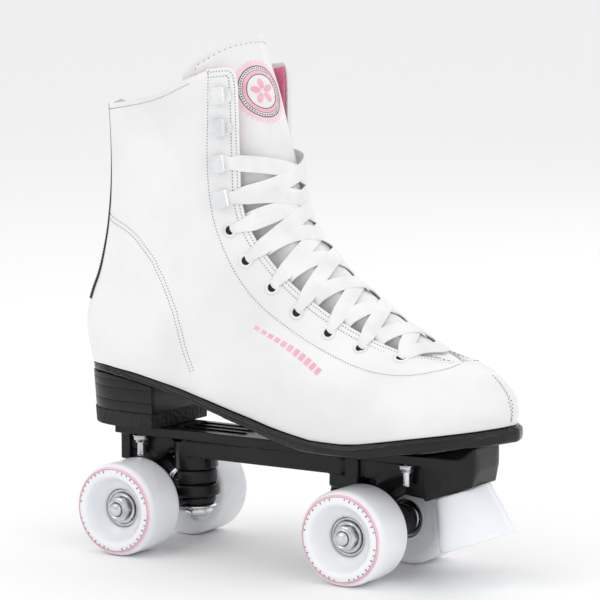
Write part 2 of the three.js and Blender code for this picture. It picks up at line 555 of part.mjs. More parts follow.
// The sides of the wheel are flats, so its corners stand out a little past the round.
function addWheel(truck, side, name) {
  const stretch = 1 / Math.cos(Math.PI / WHEEL.sides);
  const outline = wheelOutline().map(([r, y]) => new THREE.Vector2(r > 12 ? r * stretch : r, y * side));
  const wheel = new THREE.LatheGeometry(outline, WHEEL.sides, Math.PI / WHEEL.sides);
  const centre = [truck.axleX, side * WHEEL.centreY, AXLE.height];
  add(`${name}_wheel`, wheel, COLOUR.urethane, 0.3).position.set(...centre);
  for (const [end, face] of [['outer', BEARING.outboard], ['inner', BEARING.inboard]]) {
    const bearing = sleeve(BEARING.inner, BEARING.outer, face - BEARING.width, face, 20);
    if (side < 0) bearing.rotateX(Math.PI);
    add(`${name}_${end}_bearing`, bearing, COLOUR.steel, 0.3, 1).position.set(...centre);
  }
  const inner = BARREL.halfLength + FIT;
  const outer = WHEEL.centreY + BEARING.outboard + FIT;
  const spacer = sleeve(AXLE.radius + FIT, BEARING.race, inner, outer, 16);
  const nut = hexNut(AXLE_NUT.flats, AXLE.radius + FIT, AXLE_NUT.height).rotateX(-Math.PI / 2)
    .translate(0, outer + FIT, 0);
  for (const [piece, geometry] of [['spacer', spacer], ['axle_nut', nut]]) {
    if (side < 0) geometry.rotateX(Math.PI);
    add(`${name}_${piece}`, geometry, COLOUR.zinc, 0.3, 1).position.set(truck.axleX, 0, AXLE.height);
  }
}

// ---- the whole skate ----------------------------------------------------------
addUpper();
addTongue();
addLining();
addSole();
addLace();
addPlate();
addMountBolts();
addToeStop();
for (const [truck, end] of [[REAR, 'rear'], [FRONT, 'front']]) {
  addTruck(truck, end);
  addWheel(truck, 1, `${end}_left`);
  addWheel(truck, -1, `${end}_right`);
}

export default skate;
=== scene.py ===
import math

import bmesh
import bpy
import numpy as np
from mathutils import Matrix, Vector


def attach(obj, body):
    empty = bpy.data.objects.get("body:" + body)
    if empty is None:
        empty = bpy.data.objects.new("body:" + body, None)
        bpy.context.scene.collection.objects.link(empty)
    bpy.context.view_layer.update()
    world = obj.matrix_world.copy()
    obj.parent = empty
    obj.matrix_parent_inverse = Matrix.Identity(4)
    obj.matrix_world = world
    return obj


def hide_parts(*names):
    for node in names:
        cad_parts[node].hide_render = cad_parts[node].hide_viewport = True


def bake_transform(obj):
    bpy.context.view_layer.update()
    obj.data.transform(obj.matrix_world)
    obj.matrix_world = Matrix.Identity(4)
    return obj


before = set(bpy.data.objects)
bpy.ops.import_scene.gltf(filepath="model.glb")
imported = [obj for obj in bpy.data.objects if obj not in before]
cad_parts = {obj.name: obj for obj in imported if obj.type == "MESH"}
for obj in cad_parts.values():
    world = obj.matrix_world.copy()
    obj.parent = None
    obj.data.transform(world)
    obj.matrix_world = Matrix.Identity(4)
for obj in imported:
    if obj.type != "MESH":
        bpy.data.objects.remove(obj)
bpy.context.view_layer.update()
MM = 0.001


# --- Studio ---------------------------------------------------------------------
# A pale floor that the wheels stand on, a long lens at knee height in front of the
# right side of the skate, and large soft lamps.
AZIMUTH, ELEVATION = math.radians(32.41), math.radians(7.52)
DISTANCE, LENS, SENSOR = 1.800, 190.23, 36      # m, mm, mm
LOOKS_AT = Vector((0.0029, 0.0, 0.1502))
LAMPS_AT = Vector((0, 0, 0.13))

back = Vector((math.sin(AZIMUTH) * math.cos(ELEVATION),
               -math.cos(AZIMUTH) * math.cos(ELEVATION), math.sin(ELEVATION)))
camera_data = bpy.data.cameras.new("camera")
camera_data.lens = LENS
camera_data.sensor_width = SENSOR
camera = bpy.data.objects.new("camera", camera_data)
camera.location = LOOKS_AT + back * DISTANCE
camera.rotation_euler = (-back).to_track_quat("-Z", "Y").to_euler()
bpy.context.scene.collection.objects.link(camera)
bpy.context.scene.camera = camera


def lamp(name, place, size, power):
    data = bpy.data.lights.new(name, "AREA")
    data.size = size
    data.energy = power
    light = bpy.data.objects.new(name, data)
    light.location = place
    light.rotation_euler = (LAMPS_AT - Vector(place)).to_track_quat("-Z", "Y").to_euler()
    bpy.context.scene.collection.objects.link(light)


lamp("key", (-0.9, -1.5, 1.5), 1.1, 5.5)
lamp("side", (1.9, -0.5, 0.8), 1.0, 3.5)
lamp("rear", (0.3, 1.6, 1.2), 1.2, 3.5)
lamp("top", (0.0, 0.0, 1.9), 1.4, 3.5)

world = bpy.data.worlds.new("world")
world.use_nodes = True
world.node_tree.nodes["Background"].inputs["Color"].default_value = (1, 1, 1, 1)
world.node_tree.nodes["Background"].inputs["Strength"].default_value = 0.90
bpy.context.scene.world = world
bpy.context.scene.view_settings.view_transform = "Standard"


def link_mesh(bm, name):
    """A new object at the origin with the bmesh's shape."""
    mesh = bpy.data.meshes.new(name)
    bm.to_mesh(mesh)
    bm.free()
    piece = bpy.data.objects.new(name, mesh)
    bpy.context.scene.collection.objects.link(piece)
    return piece


floor_shape = bmesh.new()
bmesh.ops.create_grid(floor_shape, x_segments=1, y_segments=1, size=40)
floor = link_mesh(floor_shape, "floor")
floor_paint = bpy.data.materials.new("floor_paint")
floor_paint.use_nodes = True
floor_paint.node_tree.nodes["Principled BSDF"].inputs["Base Color"].default_value = (0.96, 0.96, 0.96, 1)
floor_paint.node_tree.nodes["Principled BSDF"].inputs["Roughness"].default_value = 0.8
floor.data.materials.append(floor_paint)


# --- Boot form -------------------------------------------------------------------
# The upper is pulled over a last. Its outer face is a stack of closed sections, each
# from a heel point to a toe point with half widths at the stations between them.
LEATHER = 2.2
STATIONS = [0, 0.025, 0.10, 0.28, 0.48, 0.67, 0.82, 0.93, 0.982, 1]
# heel x, heel z, toe x, toe z, sag at the ball, then the half widths
SECTIONS = np.array([
    (-136.5, 107, 139, 90, 1.0, 0, 17, 28, 29.5, 33, 43.5, 40.5, 27, 12.5, 0),
    (-139.8, 120, 139.5, 99, 0.62, 0, 17, 29, 32, 35.5, 44.5, 41, 27, 12.5, 0),
    (-141.4, 134, 136, 108, 0.40, 0, 16, 28, 33.5, 36, 42, 37, 24, 11, 0),
    (-137.5, 148, 124, 119, 0.22, 0, 15, 27, 33, 34.5, 35.5, 31, 20, 9, 0),
    (-132.5, 160, 98, 127, 0.10, 0, 14, 26, 32.5, 33.5, 30, 25, 16, 8, 0),
    (-128.5, 173, 62, 148, 0.04, 0, 13, 25, 33, 34, 29.5, 23, 15, 7.5, 0),
    (-124.5, 190, 30, 171, 0, 0, 12.5, 24, 33.5, 35, 31, 24, 16, 8, 0),
    (-122.0, 212, 8, 198, 0, 0, 12, 23.5, 33.5, 35.5, 32, 26, 18, 9, 0),
    (-121.5, 236, 0, 232, 0, 0, 12, 24, 34, 36, 33.5, 28, 19.5, 10, 0),
    (-122.0, 260, -4, 286, 0, 0, 13, 25, 35, 37, 34.5, 30, 21, 11, 0)])
SAG_DEPTH = 17.5
SAG_AT = [0, 0.08, 0.16, 0.28, 0.40, 0.52, 0.62, 0.72, 0.84, 1]
SAG_SHARE = [0, -0.1, -0.02, 0.25, 0.62, 0.93, 1.02, 0.92, 0.5, 0]
TOE_SWING = (10, 130, 6)    # the toe bends left in front of this x, over this length, by this much


def step_of(share, marks):
    """The step between two of the marks in which a share falls, and how far along the step."""
    x = share * (marks - 1)
    step = np.clip(np.floor(x).astype(int), 0, marks - 2)
    return step, x - step


def between(a, b, c, d, f):
    """A point between b and c on the smooth curve through four values."""
    return 0.5 * (2 * b + (c - a) * f + (2 * a - 5 * b + 4 * c - d) * f ** 2
                  + (3 * b - a - 3 * c + d) * f ** 3)


def smooth(values, share):
    """Points on a smooth curve through evenly spaced values; past its end it runs on straight."""
    values = np.asarray(values, float)
    i, f = step_of(np.asarray(share, float), len(values))
    if values.ndim > 1:
        f = f[..., None]
    padded = np.concatenate([[2 * values[0] - values[1]], values, [2 * values[-1] - values[-2]]])
    a, b, c, d = (padded[i + k] for k in range(4))
    return np.where(f > 1, c + (f - 1) * (c - b), between(a, b, c, d, f))


def surface(height, around):
    """The upper's outer face in mm: height share 0 to 1, and the place around it,
    0 at the heel and 1 or -1 at the toe, positive on the left."""
    height, around = np.broadcast_arrays(np.asarray(height, float), np.asarray(around, float))
    around = np.where(around > 1, around - 2, np.where(around < -1, around + 2, around))
    place = np.abs(around)
    station = smooth(STATIONS, place)
    rows = smooth(SECTIONS, height)
    i, f = step_of(place, len(STATIONS))
    halves = rows[..., 5:]
    padded = np.concatenate([2 * halves[..., :1] - halves[..., 1:2], halves,
                             2 * halves[..., -1:] - halves[..., -2:-1]], axis=-1)
    half = between(*(np.take_along_axis(padded, (i + k)[..., None], -1)[..., 0] for k in range(4)), f)
    heel_x, heel_z, toe_x, toe_z, sag = (rows[..., k] for k in range(5))
    x = heel_x + (toe_x - heel_x) * station
    z = heel_z + (toe_z - heel_z) * station - SAG_DEPTH * sag * np.interp(station, SAG_AT, SAG_SHARE)
    swing = TOE_SWING[2] * np.maximum(0, (x - TOE_SWING[0]) / TOE_SWING[1]) ** 2
    return np.stack([x, np.sign(around) * np.maximum(half, 0) + swing, z], axis=-1)


def outward(height, around):
    """The direction straight out of the upper's outer face."""
    step = 0.012
    up = surface(height + step, around) - surface(height - step, around)
    round_it = surface(height, around + step) - surface(height, around - step)
    normal = np.cross(up, round_it)
    return normal / np.maximum(np.linalg.norm(normal, axis=-1, keepdims=True), 1e-9)


def on_boot(height, around, lift=0.0):
    """A point lifted off the upper's outer face, in mm."""
    height, around = np.asarray(height, float), np.asarray(around, float)
    lift = np.asarray(lift, float)[..., None]
    return surface(height, around) + outward(height, around) * lift


def flat_places(verts):
    """Where the vertices of a flat grid or disc lie, across and along."""
    return np.array([vert.co[:2] for vert in verts])


def lay(verts, points):
    """Moves vertices to points given in mm."""
    for vert, point in zip(verts, points * MM):
        vert.co = point


def mapped_grid(across, along, place):
    """A grid of cells laid on place(u, v), which gives points in mm, with the same
    shares as its UV map."""
    bm = bmesh.new()
    bmesh.ops.create_grid(bm, x_segments=across, y_segments=along, size=0.5)
    share = flat_places(bm.verts) + 0.5
    uv = bm.loops.layers.uv.new("cells")
    for face in bm.faces:
        for loop in face.loops:
            loop[uv].uv = share[loop.vert.index]
    lay(bm.verts, place(share[:, 0], share[:, 1]))
    return bm


def faced(bm, towards):
    """Turns an open sheet's faces so that, on the whole, they look towards a direction."""
    bm.normal_update()
    total = sum((face.normal * face.calc_area() for face in bm.faces), Vector())
    if total.dot(Vector(towards)) < 0:
        bmesh.ops.reverse_faces(bm, faces=bm.faces)
    return bm


# --- Finishes of the boot -----------------------------------------------------------
# White coated leather with a fine pressed grain, a knitted pink lining, and waxed grey
# thread. Every finish takes its grain from one shared pattern on Object coordinates.
def grain_group():
    """Fine grain and broad blotches, for bump, roughness and colour."""
    group = bpy.data.node_groups.new("grain", "ShaderNodeTree")
    for name, kind, value in (("Place", "NodeSocketVector", None), ("Fine Scale", "NodeSocketFloat", 900),
                              ("Broad Scale", "NodeSocketFloat", 30)):
        socket = group.interface.new_socket(name, in_out="INPUT", socket_type=kind)
        if value is not None:
            socket.default_value = value
    for name in ("Fine", "Broad"):
        group.interface.new_socket(name, in_out="OUTPUT", socket_type="NodeSocketFloat")
    nodes, links = group.nodes, group.links
    inside, outside = nodes.new("NodeGroupInput"), nodes.new("NodeGroupOutput")
    pores = nodes.new("ShaderNodeTexVoronoi")
    fuzz = nodes.new("ShaderNodeTexNoise")
    fuzz.inputs["Detail"].default_value = 4
    broad = nodes.new("ShaderNodeTexNoise")
    broad.inputs["Detail"].default_value = 3
    both = nodes.new("ShaderNodeMath")
    both.operation = "ADD"
    for texture, scale in ((pores, "Fine Scale"), (fuzz, "Fine Scale"), (broad, "Broad Scale")):
        links.new(inside.outputs["Place"], texture.inputs["Vector"])
        links.new(inside.outputs[scale], texture.inputs["Scale"])
    links.new(pores.outputs["Distance"], both.inputs[0])
    links.new(fuzz.outputs["Fac"], both.inputs[1])
    links.new(both.outputs[0], outside.inputs["Fine"])
    links.new(broad.outputs["Fac"], outside.inputs["Broad"])
    return group


GRAIN = grain_group()


def surface_finish(name, dark, light, rough, fine, broad=30, bump=0.15, depth=0.0002, **sockets):
    """A finish whose colour drifts from dark to light and its roughness between two values,
    with a fine raised grain. Further values go straight on the shader's own sockets."""
    material = bpy.data.materials.new(name)
    material.use_nodes = True
    nodes, links = material.node_tree.nodes, material.node_tree.links
    shader = nodes["Principled BSDF"]
    place = nodes.new("ShaderNodeTexCoord")
    grain = nodes.new("ShaderNodeGroup")
    grain.node_tree = GRAIN
    grain.inputs["Fine Scale"].default_value = fine
    grain.inputs["Broad Scale"].default_value = broad
    links.new(place.outputs["Object"], grain.inputs["Place"])
    colour = nodes.new("ShaderNodeMix")
    colour.data_type = "RGBA"
    colour.inputs[6].default_value = (*dark, 1)
    colour.inputs[7].default_value = (*light, 1)
    contrast = nodes.new("ShaderNodeMapRange")
    contrast.inputs["From Min"].default_value = 0.35
    contrast.inputs["From Max"].default_value = 0.65
    links.new(grain.outputs["Broad"], contrast.inputs["Value"])
    links.new(contrast.outputs["Result"], colour.inputs[0])
    links.new(colour.outputs[2], shader.inputs["Base Color"])
    gloss = nodes.new("ShaderNodeMapRange")
    gloss.inputs["From Min"].default_value = 0.3
    gloss.inputs["From Max"].default_value = 0.7
    gloss.inputs["To Min"].default_value = rough[0]
    gloss.inputs["To Max"].default_value = rough[1]
    links.new(grain.outputs["Broad"], gloss.inputs["Value"])
    links.new(gloss.outputs["Result"], shader.inputs["Roughness"])
    raised = nodes.new("ShaderNodeBump")
    raised.inputs["Strength"].default_value = bump
    raised.inputs["Distance"].default_value = depth
    links.new(grain.outputs["Fine"], raised.inputs["Height"])
    links.new(raised.outputs["Normal"], shader.inputs["Normal"])
    for socket, value in sockets.items():
        shader.inputs[socket.replace("_", " ")].default_value = value
    return material


WHITE_LEATHER = surface_finish("white_leather", (0.78, 0.78, 0.79), (0.86, 0.86, 0.865), (0.34, 0.46),
                               750, 18, 0.14, Coat_Weight=0.12, Coat_Roughness=0.28)
PINK_KNIT = surface_finish("pink_knit", (0.62, 0.10, 0.20), (0.78, 0.17, 0.30), (0.80, 0.95),
                           1400, 60, 0.6, 0.0005, Sheen_Weight=0.35, Sheen_Roughness=0.5)
GREY_THREAD = surface_finish("grey_thread", (0.15, 0.155, 0.165), (0.27, 0.275, 0.29), (0.55, 0.75),
                             2600, 200, 0.5)
# painted shade: the back strip's near-black colour stands for the shadow along the back of the shaft
STRIP_SHADE = surface_finish("painted_strip_shade", (0.012, 0.012, 0.013), (0.03, 0.03, 0.032), (0.5, 0.7),
                            1800, 90, 0.5)


def finished(piece, material, body):
    """Gives a piece its finish, smooth shading and, if it rides on only one, its body."""
    piece.data.materials.append(material)
    for polygon in piece.data.polygons:
        polygon.use_smooth = True
    if body:
        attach(piece, body)
    return piece


def soft_edges(piece, width, segments=2, angle=50):
    """Rolls every edge of a piece that is sharper than the angle."""
    bevel = piece.modifiers.new("soft_edge", "BEVEL")
    bevel.width = width * MM
    bevel.segments = segments
    bevel.limit_method = "ANGLE"
    bevel.angle_limit = math.radians(angle)


def thickened(piece, thickness, edge, offset=-1.0, segments=2):
    """Gives a sheet its thickness on the side away from its normals, and soft edges."""
    wall = piece.modifiers.new("thickness", "SOLIDIFY")
    wall.thickness = thickness * MM
    wall.offset = offset
    soft_edges(piece, edge, segments)


# --- Quarters, heel counter and lace facings -----------------------------------------
# The upper is cut from five pieces of coated leather, 2.2 mm thick. The heel counter
# and the two facings overlap the quarters, and are stitched down along their edges.
# Each seam's marks are a height share and a place around the boot.
COUNTER_SEAM = [[0, 0.365], [0.12, 0.365], [0.24, 0.359], [0.33, 0.352], [0.40, 0.352], [0.45, 0.352],
                [0.50, 0.354], [0.54, 0.356], [0.58, 0.353], [0.61, 0.35], [0.665, 0.32], [0.69, 0.28],
                [0.70, 0.22], [0.707, 0.15], [0.711, 0.08], [0.712, 0.03], [0.712, 0.012]]
FACING_SEAM = [[0.385, 0.93], [0.37, 0.87], [0.33, 0.782], [0.29, 0.70], [0.287, 0.647], [0.31, 0.603],
               [0.36, 0.562], [0.44, 0.535], [0.503, 0.517], [0.577, 0.515], [0.653, 0.525],
               [0.74, 0.537], [0.80, 0.547], [0.88, 0.557], [0.94, 0.57], [0.975, 0.5765],
               [0.997, 0.581], [1.007, 0.584]]
OPENING_EDGE = [[0.415, 0.93], [0.417, 0.90], [0.420, 0.86], [0.428, 0.81], [0.44, 0.765], [0.46, 0.735],
                [0.485, 0.71], [0.52, 0.685], [0.56, 0.668], [0.61, 0.657], [0.675, 0.652], [0.75, 0.652],
                [0.81, 0.662], [0.885, 0.68], [0.945, 0.691], [0.985, 0.694],
                [0.998, 0.683], [1.0035, 0.664]]
COLLAR_EDGE = [[1, 0.003], [1, 0.03], [0.995, 0.08], [0.99, 0.15], [0.985, 0.25], [0.985, 0.40], [1, 0.52]]
SOLE_EDGE = [[0, 0.46], [0, 0.55], [0, 0.66], [0, 0.77], [0, 0.87], [0, 0.94], [0, 0.999]]
TOE_TOP = [0.405, 0.999]
CUTS = 4              # steps between two marks of a seam
OVERLAP = 0.08        # how far an overlaid piece stands proud, mm
TUCK = 0.014          # how far the quarters run on under it, as a share of the boot
LEFT_DIP = 0.017      # how much lower the collar dips on the left, as a share of the height
SIDES = (("left", 1), ("right", -1))


def run(seam, cuts=CUTS):
    """A seam drawn through its marks, with further points between them."""
    return smooth(seam, np.linspace(0, 1, (len(seam) - 1) * cuts + 1))


def joined(*parts):
    """Seams end to end, with straight steps between them."""
    line = run(parts[0])
    for part in parts[1:]:
        step = np.linspace(line[-1], part[0], CUTS + 1)[1:-1]
        line = np.concatenate([line, step, run(part) if len(part) > 1 else np.array(part)])
    return line


def at_row(line, share):
    """The seam's point at each share, straight between its points."""
    i, f = step_of(np.clip(share, 0, 1), len(line))
    return line[i] + (line[i + 1] - line[i]) * f[:, None]


def leather_panel(name, side, low, high, rows, lift=0.0):
    """A piece of leather between two matched seams on one side of the boot."""
    def place(u, v):
        a, b = at_row(low, u), at_row(high, u)
        point = a + (b - a) * v[:, None]
        return on_boot(point[:, 0], side * point[:, 1], lift)

    piece = link_mesh(faced(mapped_grid(len(low) - 1, rows, place), (0, side, 0)), name)
    return finished(piece, WHITE_LEATHER, "skate_body")


def collar(side):
    """The collar's edge. On the left it dips a little more behind the ankle."""
    dip = LEFT_DIP if side > 0 else 0.0
    shares = [min(place / COLLAR_EDGE[-1][1], 1) for height, place in COLLAR_EDGE]
    return [[height - dip * math.sin(math.pi * share) ** 0.5, place]
            for share, (height, place) in zip(shares, COLLAR_EDGE)]


def under_collar(height, around, below):
    """Keeps heights a little below the upper's top edge."""
    edges = [np.array(run(collar(side)).tolist() + [FACING_SEAM[-1], OPENING_EDGE[-1]])
             for name, side in SIDES]
    tops = [np.interp(np.abs(around), edge[:, 1], edge[:, 0]) for edge in edges]
    return np.minimum(height, np.where(around > 0, *tops) - below)


tucked = (np.array(FACING_SEAM) * 0.8 + np.array(OPENING_EDGE) * 0.2).tolist()[::-1]
behind = joined([[height, place - TUCK] for height, place in COUNTER_SEAM[::-1]], SOLE_EDGE)
for name, side in SIDES:
    quarter_top = joined(collar(side), tucked, [TOE_TOP])
    quarter = leather_panel(name + "_quarter_leather", side, behind, quarter_top, 28)
    thickened(quarter, LEATHER, 0.35)
    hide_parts(name + "_quarter")
    facing = leather_panel(name + "_facing_leather", side, run(FACING_SEAM), run(OPENING_EDGE), 8, OVERLAP)
    thickened(facing, LEATHER + OVERLAP, 0.25)
    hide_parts(name + "_facing")


def counter_place(u, v):
    seam = at_row(run(COUNTER_SEAM), v)
    around = (2 * u - 1) * seam[:, 1]
    return on_boot(np.maximum(seam[:, 0], 0), around, OVERLAP)


counter = link_mesh(faced(mapped_grid(48, 64, counter_place), (-1, 0, 0)), "heel_counter_leather")
finished(counter, WHITE_LEATHER, "skate_body")
thickened(counter, LEATHER + OVERLAP, 0.35)
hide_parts("heel_counter")


# --- Back strip ------------------------------------------------------------------------
# A tape is sewn over the join of the quarters, down the back of the shaft, and is
# wide enough for its edges to be seen from the sides. Its near-black colour is painted
# shade, for the shadow that falls along the back of the shaft.
STRIP_REACH = 0.118   # half its width, as a share of the way round
STRIP_LOW = 0.30      # height share of its lower end, which lies on the heel counter
STRIP_LIFT = OVERLAP + 1.0


def back_strip_place(u, v):
    around = (2 * u - 1) * STRIP_REACH
    return on_boot(under_collar(STRIP_LOW + (1 - STRIP_LOW) * v, around, 0.003), around, STRIP_LIFT)


strip = link_mesh(faced(mapped_grid(20, 70, back_strip_place), (-1, 0, 0)), "back_strip")
# the strip's near-black colour is painted shade
finished(strip, STRIP_SHADE, "skate_body")
thickened(strip, 0.8, 0.2)


# --- Stitching -------------------------------------------------------------------------
# Lockstitch in grey thread, a stitch every 1.75 mm, in one row or two beside each edge.
PITCH = 1.75
THREAD, STITCH_LENGTH = 0.30, 0.9    # a stitch's radius and length where it lies on the leather, mm
BEDDED = 0.05         # how far its middle is off the leather, mm
COUNTER_ROWS, OPENING_ROWS = (-1.6, -4.4), (-1.8, -4.6)    # mm left of the seam's direction
FACING_ROW, COLLAR_ROW = 1.5, 3.0
STRIP_ROW = 0.014     # how far inside the back strip's edges, as a share of the way round

stitch_shape = bmesh.new()
bmesh.ops.create_uvsphere(stitch_shape, u_segments=6, v_segments=4, radius=1)
STITCH = bpy.data.meshes.new("stitch")
stitch_shape.to_mesh(STITCH)
stitch_shape.free()


def stitched(points, normals, pitch=PITCH):
    """Places stitches of the pitch along a line of points, as (middle, along, up)."""
    points, normals = np.asarray(points), np.asarray(normals)
    travel = np.concatenate([[0], np.cumsum(np.linalg.norm(np.diff(points, axis=0), axis=1))])
    count = int(travel[-1] / pitch)
    at = (np.arange(count) + 0.5) * travel[-1] / max(count, 1)

    def taken(line, where):
        return np.stack([np.interp(where, travel, line[:, k]) for k in range(3)], 1)

    return zip(taken(points, at), taken(points, at + 0.4) - taken(points, at - 0.4), taken(normals, at))


def sew(bm, rows, radius=THREAD, length=STITCH_LENGTH):
    """Adds one small rounded stitch at each place of each row."""
    for middle, along, up in rows:
        x, z = Vector(along).normalized(), Vector(up).normalized()
        y = z.cross(x).normalized()
        turn = Matrix((x, y, x.cross(y))).transposed().to_4x4()
        scale = Matrix.Diagonal((length / 2 * MM, radius * MM, radius * MM, 1))
        one = STITCH.copy()
        one.transform(Matrix.Translation(Vector(middle) * MM) @ turn @ scale)
        bm.from_mesh(one)
        bpy.data.meshes.remove(one)


def zigzag(start, end, swing, turns):
    """Long stitches that swing to and fro across a line between two marks on the boot."""
    share = np.linspace(0, 1, turns + 1)[:, None]
    line = np.array(start) * (1 - share) + np.array(end) * share
    line[1::2] += swing
    line[::2] -= swing
    points = on_boot(line[:, 0], line[:, 1], 0.12)
    length = np.linalg.norm(np.diff(points, axis=0), axis=1).mean()
    return stitched(points, outward(line[:, 0], line[:, 1]), length)


def inward_row(seam, side, distance, lift):
    """A row that keeps its distance in mm from an edge, to the left of its direction."""
    line = np.asarray(seam)
    edge = on_boot(line[:, 0], side * line[:, 1], lift)
    normal = outward(line[:, 0], side * line[:, 1])
    along = np.gradient(edge, axis=0)
    aside = np.cross(normal, along)
    aside /= np.maximum(np.linalg.norm(aside, axis=1, keepdims=True), 1e-9)
    return stitched(edge + aside * distance * side, normal)


threads = bmesh.new()
for name, side in SIDES:
    counter_line = run(COUNTER_SEAM)[4:]
    for distance in COUNTER_ROWS:
        sew(threads, inward_row(counter_line, side, distance, OVERLAP + BEDDED))
    sew(threads, inward_row(run(FACING_SEAM)[2:], side, FACING_ROW, OVERLAP + BEDDED))
    top = np.linspace(OPENING_EDGE[-1], FACING_SEAM[-1], 8)[1:]
    opening_line = np.concatenate([run(OPENING_EDGE)[2:], top])
    for distance in OPENING_ROWS:
        sew(threads, inward_row(opening_line, side, distance, OVERLAP + BEDDED))
    sew(threads, inward_row(run(collar(side)), side, COLLAR_ROW, BEDDED))
    sew(threads, zigzag((0.435, side * 0.855), (0.402, side * 0.90), (0.004, 0.004), 9))
for side in (1, -1):
    height = np.linspace(0.31, 0.965, 60)
    around = np.full_like(height, side * (STRIP_REACH - STRIP_ROW))
    sew(threads, stitched(on_boot(height, around, STRIP_LIFT + BEDDED), outward(height, around)))
# the two halves of the toe are joined by a heavier zigzag
sew(threads, zigzag((0.025, -0.972), (0.315, -0.972), (0, 0.009), 24), 0.36, 1.0)
stitching = link_mesh(threads, "upper_stitching")
finished(stitching, GREY_THREAD, "skate_body")


# --- Lining ----------------------------------------------------------------------------
# A pink knitted lining on thin foam fills the boot from the footbed to the collar, and
# shows inside the shaft where the facings flare.
LINING_ROWS = [[0.07, 0.985], [0.15, 0.99], [0.24, 0.99], [0.32, 0.99], [0.375, 0.985], [0.40, 0.90],
               [0.43, 0.79], [0.47, 0.72], [0.52, 0.675], [0.58, 0.65], [0.65, 0.642], [0.73, 0.642],
               [0.81, 0.652], [0.89, 0.67], [0.95, 0.683], [0.98, 0.686], [1.0, 0.672]]
LINING_FACE, LINING_FOAM = -2.35, 1.4        # mm off the upper's form at its top, and further in below
LINING_BELOW, LOWER_AT_BACK = 0.008, 0.022   # how far its top is under the collar, as shares


def lining_place(u, v):
    row = at_row(run(LINING_ROWS), v)
    around = (2 * u - 1) * row[:, 1]
    below = LINING_BELOW + LOWER_AT_BACK * np.exp(-(around / 0.15) ** 2)
    return on_boot(under_collar(row[:, 0], around, below), around, LINING_FACE - LINING_FOAM * (1 - v ** 8))


lining = link_mesh(faced(mapped_grid(90, 70, lining_place), (-1, 0, 0)), "knit_lining")
finished(lining, PINK_KNIT, "skate_body")
thickened(lining, 1.2, 0.3)
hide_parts("lining")


# --- Tongue ----------------------------------------------------------------------------
# A padded white tongue with wide wings lies under the facings and rises above the
# collar. It is two layers of leather over thin foam, stitched together inside the edge.
# height, place of its wing, place where it leaves the facings, how far its middle rises
# between them, how far it leans back above them
TONGUE_ROWS = [[0.405, 0.88, 0.90, 4.6, 0], [0.43, 0.76, 0.81, 4.6, 0], [0.47, 0.68, 0.74, 4.6, 0],
               [0.52, 0.64, 0.69, 4.6, 0], [0.58, 0.61, 0.67, 4.6, 0], [0.65, 0.59, 0.66, 4.6, 0],
               [0.73, 0.58, 0.66, 4.6, 0], [0.81, 0.575, 0.67, 3.4, 0], [0.89, 0.55, 0.69, 1.0, 0],
               [0.96, 0.52, 0.70, 0, 6.2], [1, 0.49, 0.70, 0, 12.6], [1.0297, 0.50, 0.70, 0, 15]]
TONGUE_EDGE, TONGUE_WALL = -6.4, 2.6
TONGUE_SWELL = 0.9    # how far the foam crowns the tongue between its seams, mm
TONGUE_SEAM = 0.09    # place of the edge seam, as a share of the half width
TONGUE_TALL = 3.2     # its length over its half width
TONGUE_CORNER = 0.014
TONGUE_RISE = 0.13    # how far round from the facing it takes to rise to its middle
LEAN_FROM, LEAN_TO = 0.47, 0.84    # where round the boot the lean starts and is whole
CHANNEL_DEPTH, CHANNEL_WIDTH = 0.55, 0.018    # the sewn channel, mm and share of the half width


def eased(low, high, value):
    """0 before low, 1 after high, and smoothly from one to the other between them."""
    share = np.clip((value - low) / (high - low), 0, 1)
    return share * share * (3 - 2 * share)


def tongue_place(u, v, lift=0.0):
    row = at_row(run(TONGUE_ROWS), v)
    across = 2 * u - 1
    place = 1 - np.abs(across) * (1 - row[:, 1])
    around = 1 + across * (1 - row[:, 1])
    rise = row[:, 3] * eased(row[:, 2], np.minimum(row[:, 2] + TONGUE_RISE, 1), place)
    lean = row[:, 4] * eased(LEAN_FROM, LEAN_TO, place)
    inset = np.minimum(1 - np.abs(across), (1 - v) * TONGUE_TALL)
    groove = -CHANNEL_DEPTH * np.exp(-((inset - TONGUE_SEAM) / CHANNEL_WIDTH) ** 2)
    crown = TONGUE_SWELL * eased(TONGUE_SEAM, 0.32, inset)
    corner = TONGUE_CORNER * np.abs(across) ** 8 * eased(0.9, 1, v)
    points = on_boot(row[:, 0] - corner, around, TONGUE_EDGE + rise + groove + crown + lift)
    points[..., 0] -= lean
    return points


tongue = link_mesh(faced(mapped_grid(96, 132, tongue_place), (1, 0, 0)), "padded_tongue")
TONGUE_LEATHER = surface_finish("tongue_leather", (0.76, 0.76, 0.775), (0.84, 0.84, 0.85), (0.42, 0.55),
                                700, 22, 0.18, Coat_Weight=0.08, Coat_Roughness=0.35)
finished(tongue, TONGUE_LEATHER, "skate_body")
thickened(tongue, TONGUE_WALL, 0.9, segments=3)
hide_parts("tongue")

threads = bmesh.new()
share = np.linspace(0, 1, 120)
same = np.ones(120)
edge_rows = [(same * TONGUE_SEAM / 2, 0.04 + 0.93 * share),
             (same * (1 - TONGUE_SEAM / 2), 0.04 + 0.93 * share),
             (TONGUE_SEAM / 2 + (1 - TONGUE_SEAM) * share, same * (1 - TONGUE_SEAM / TONGUE_TALL))]
for across, along in edge_rows:
    points = tongue_place(across, along, 0.12)
    beyond = tongue_place(across, along, 1.12)
    sew(threads, stitched(points, beyond - points, 3.4))
tongue_threads = link_mesh(threads, "tongue_stitching")
finished(tongue_threads, GREY_THREAD, "skate_body")


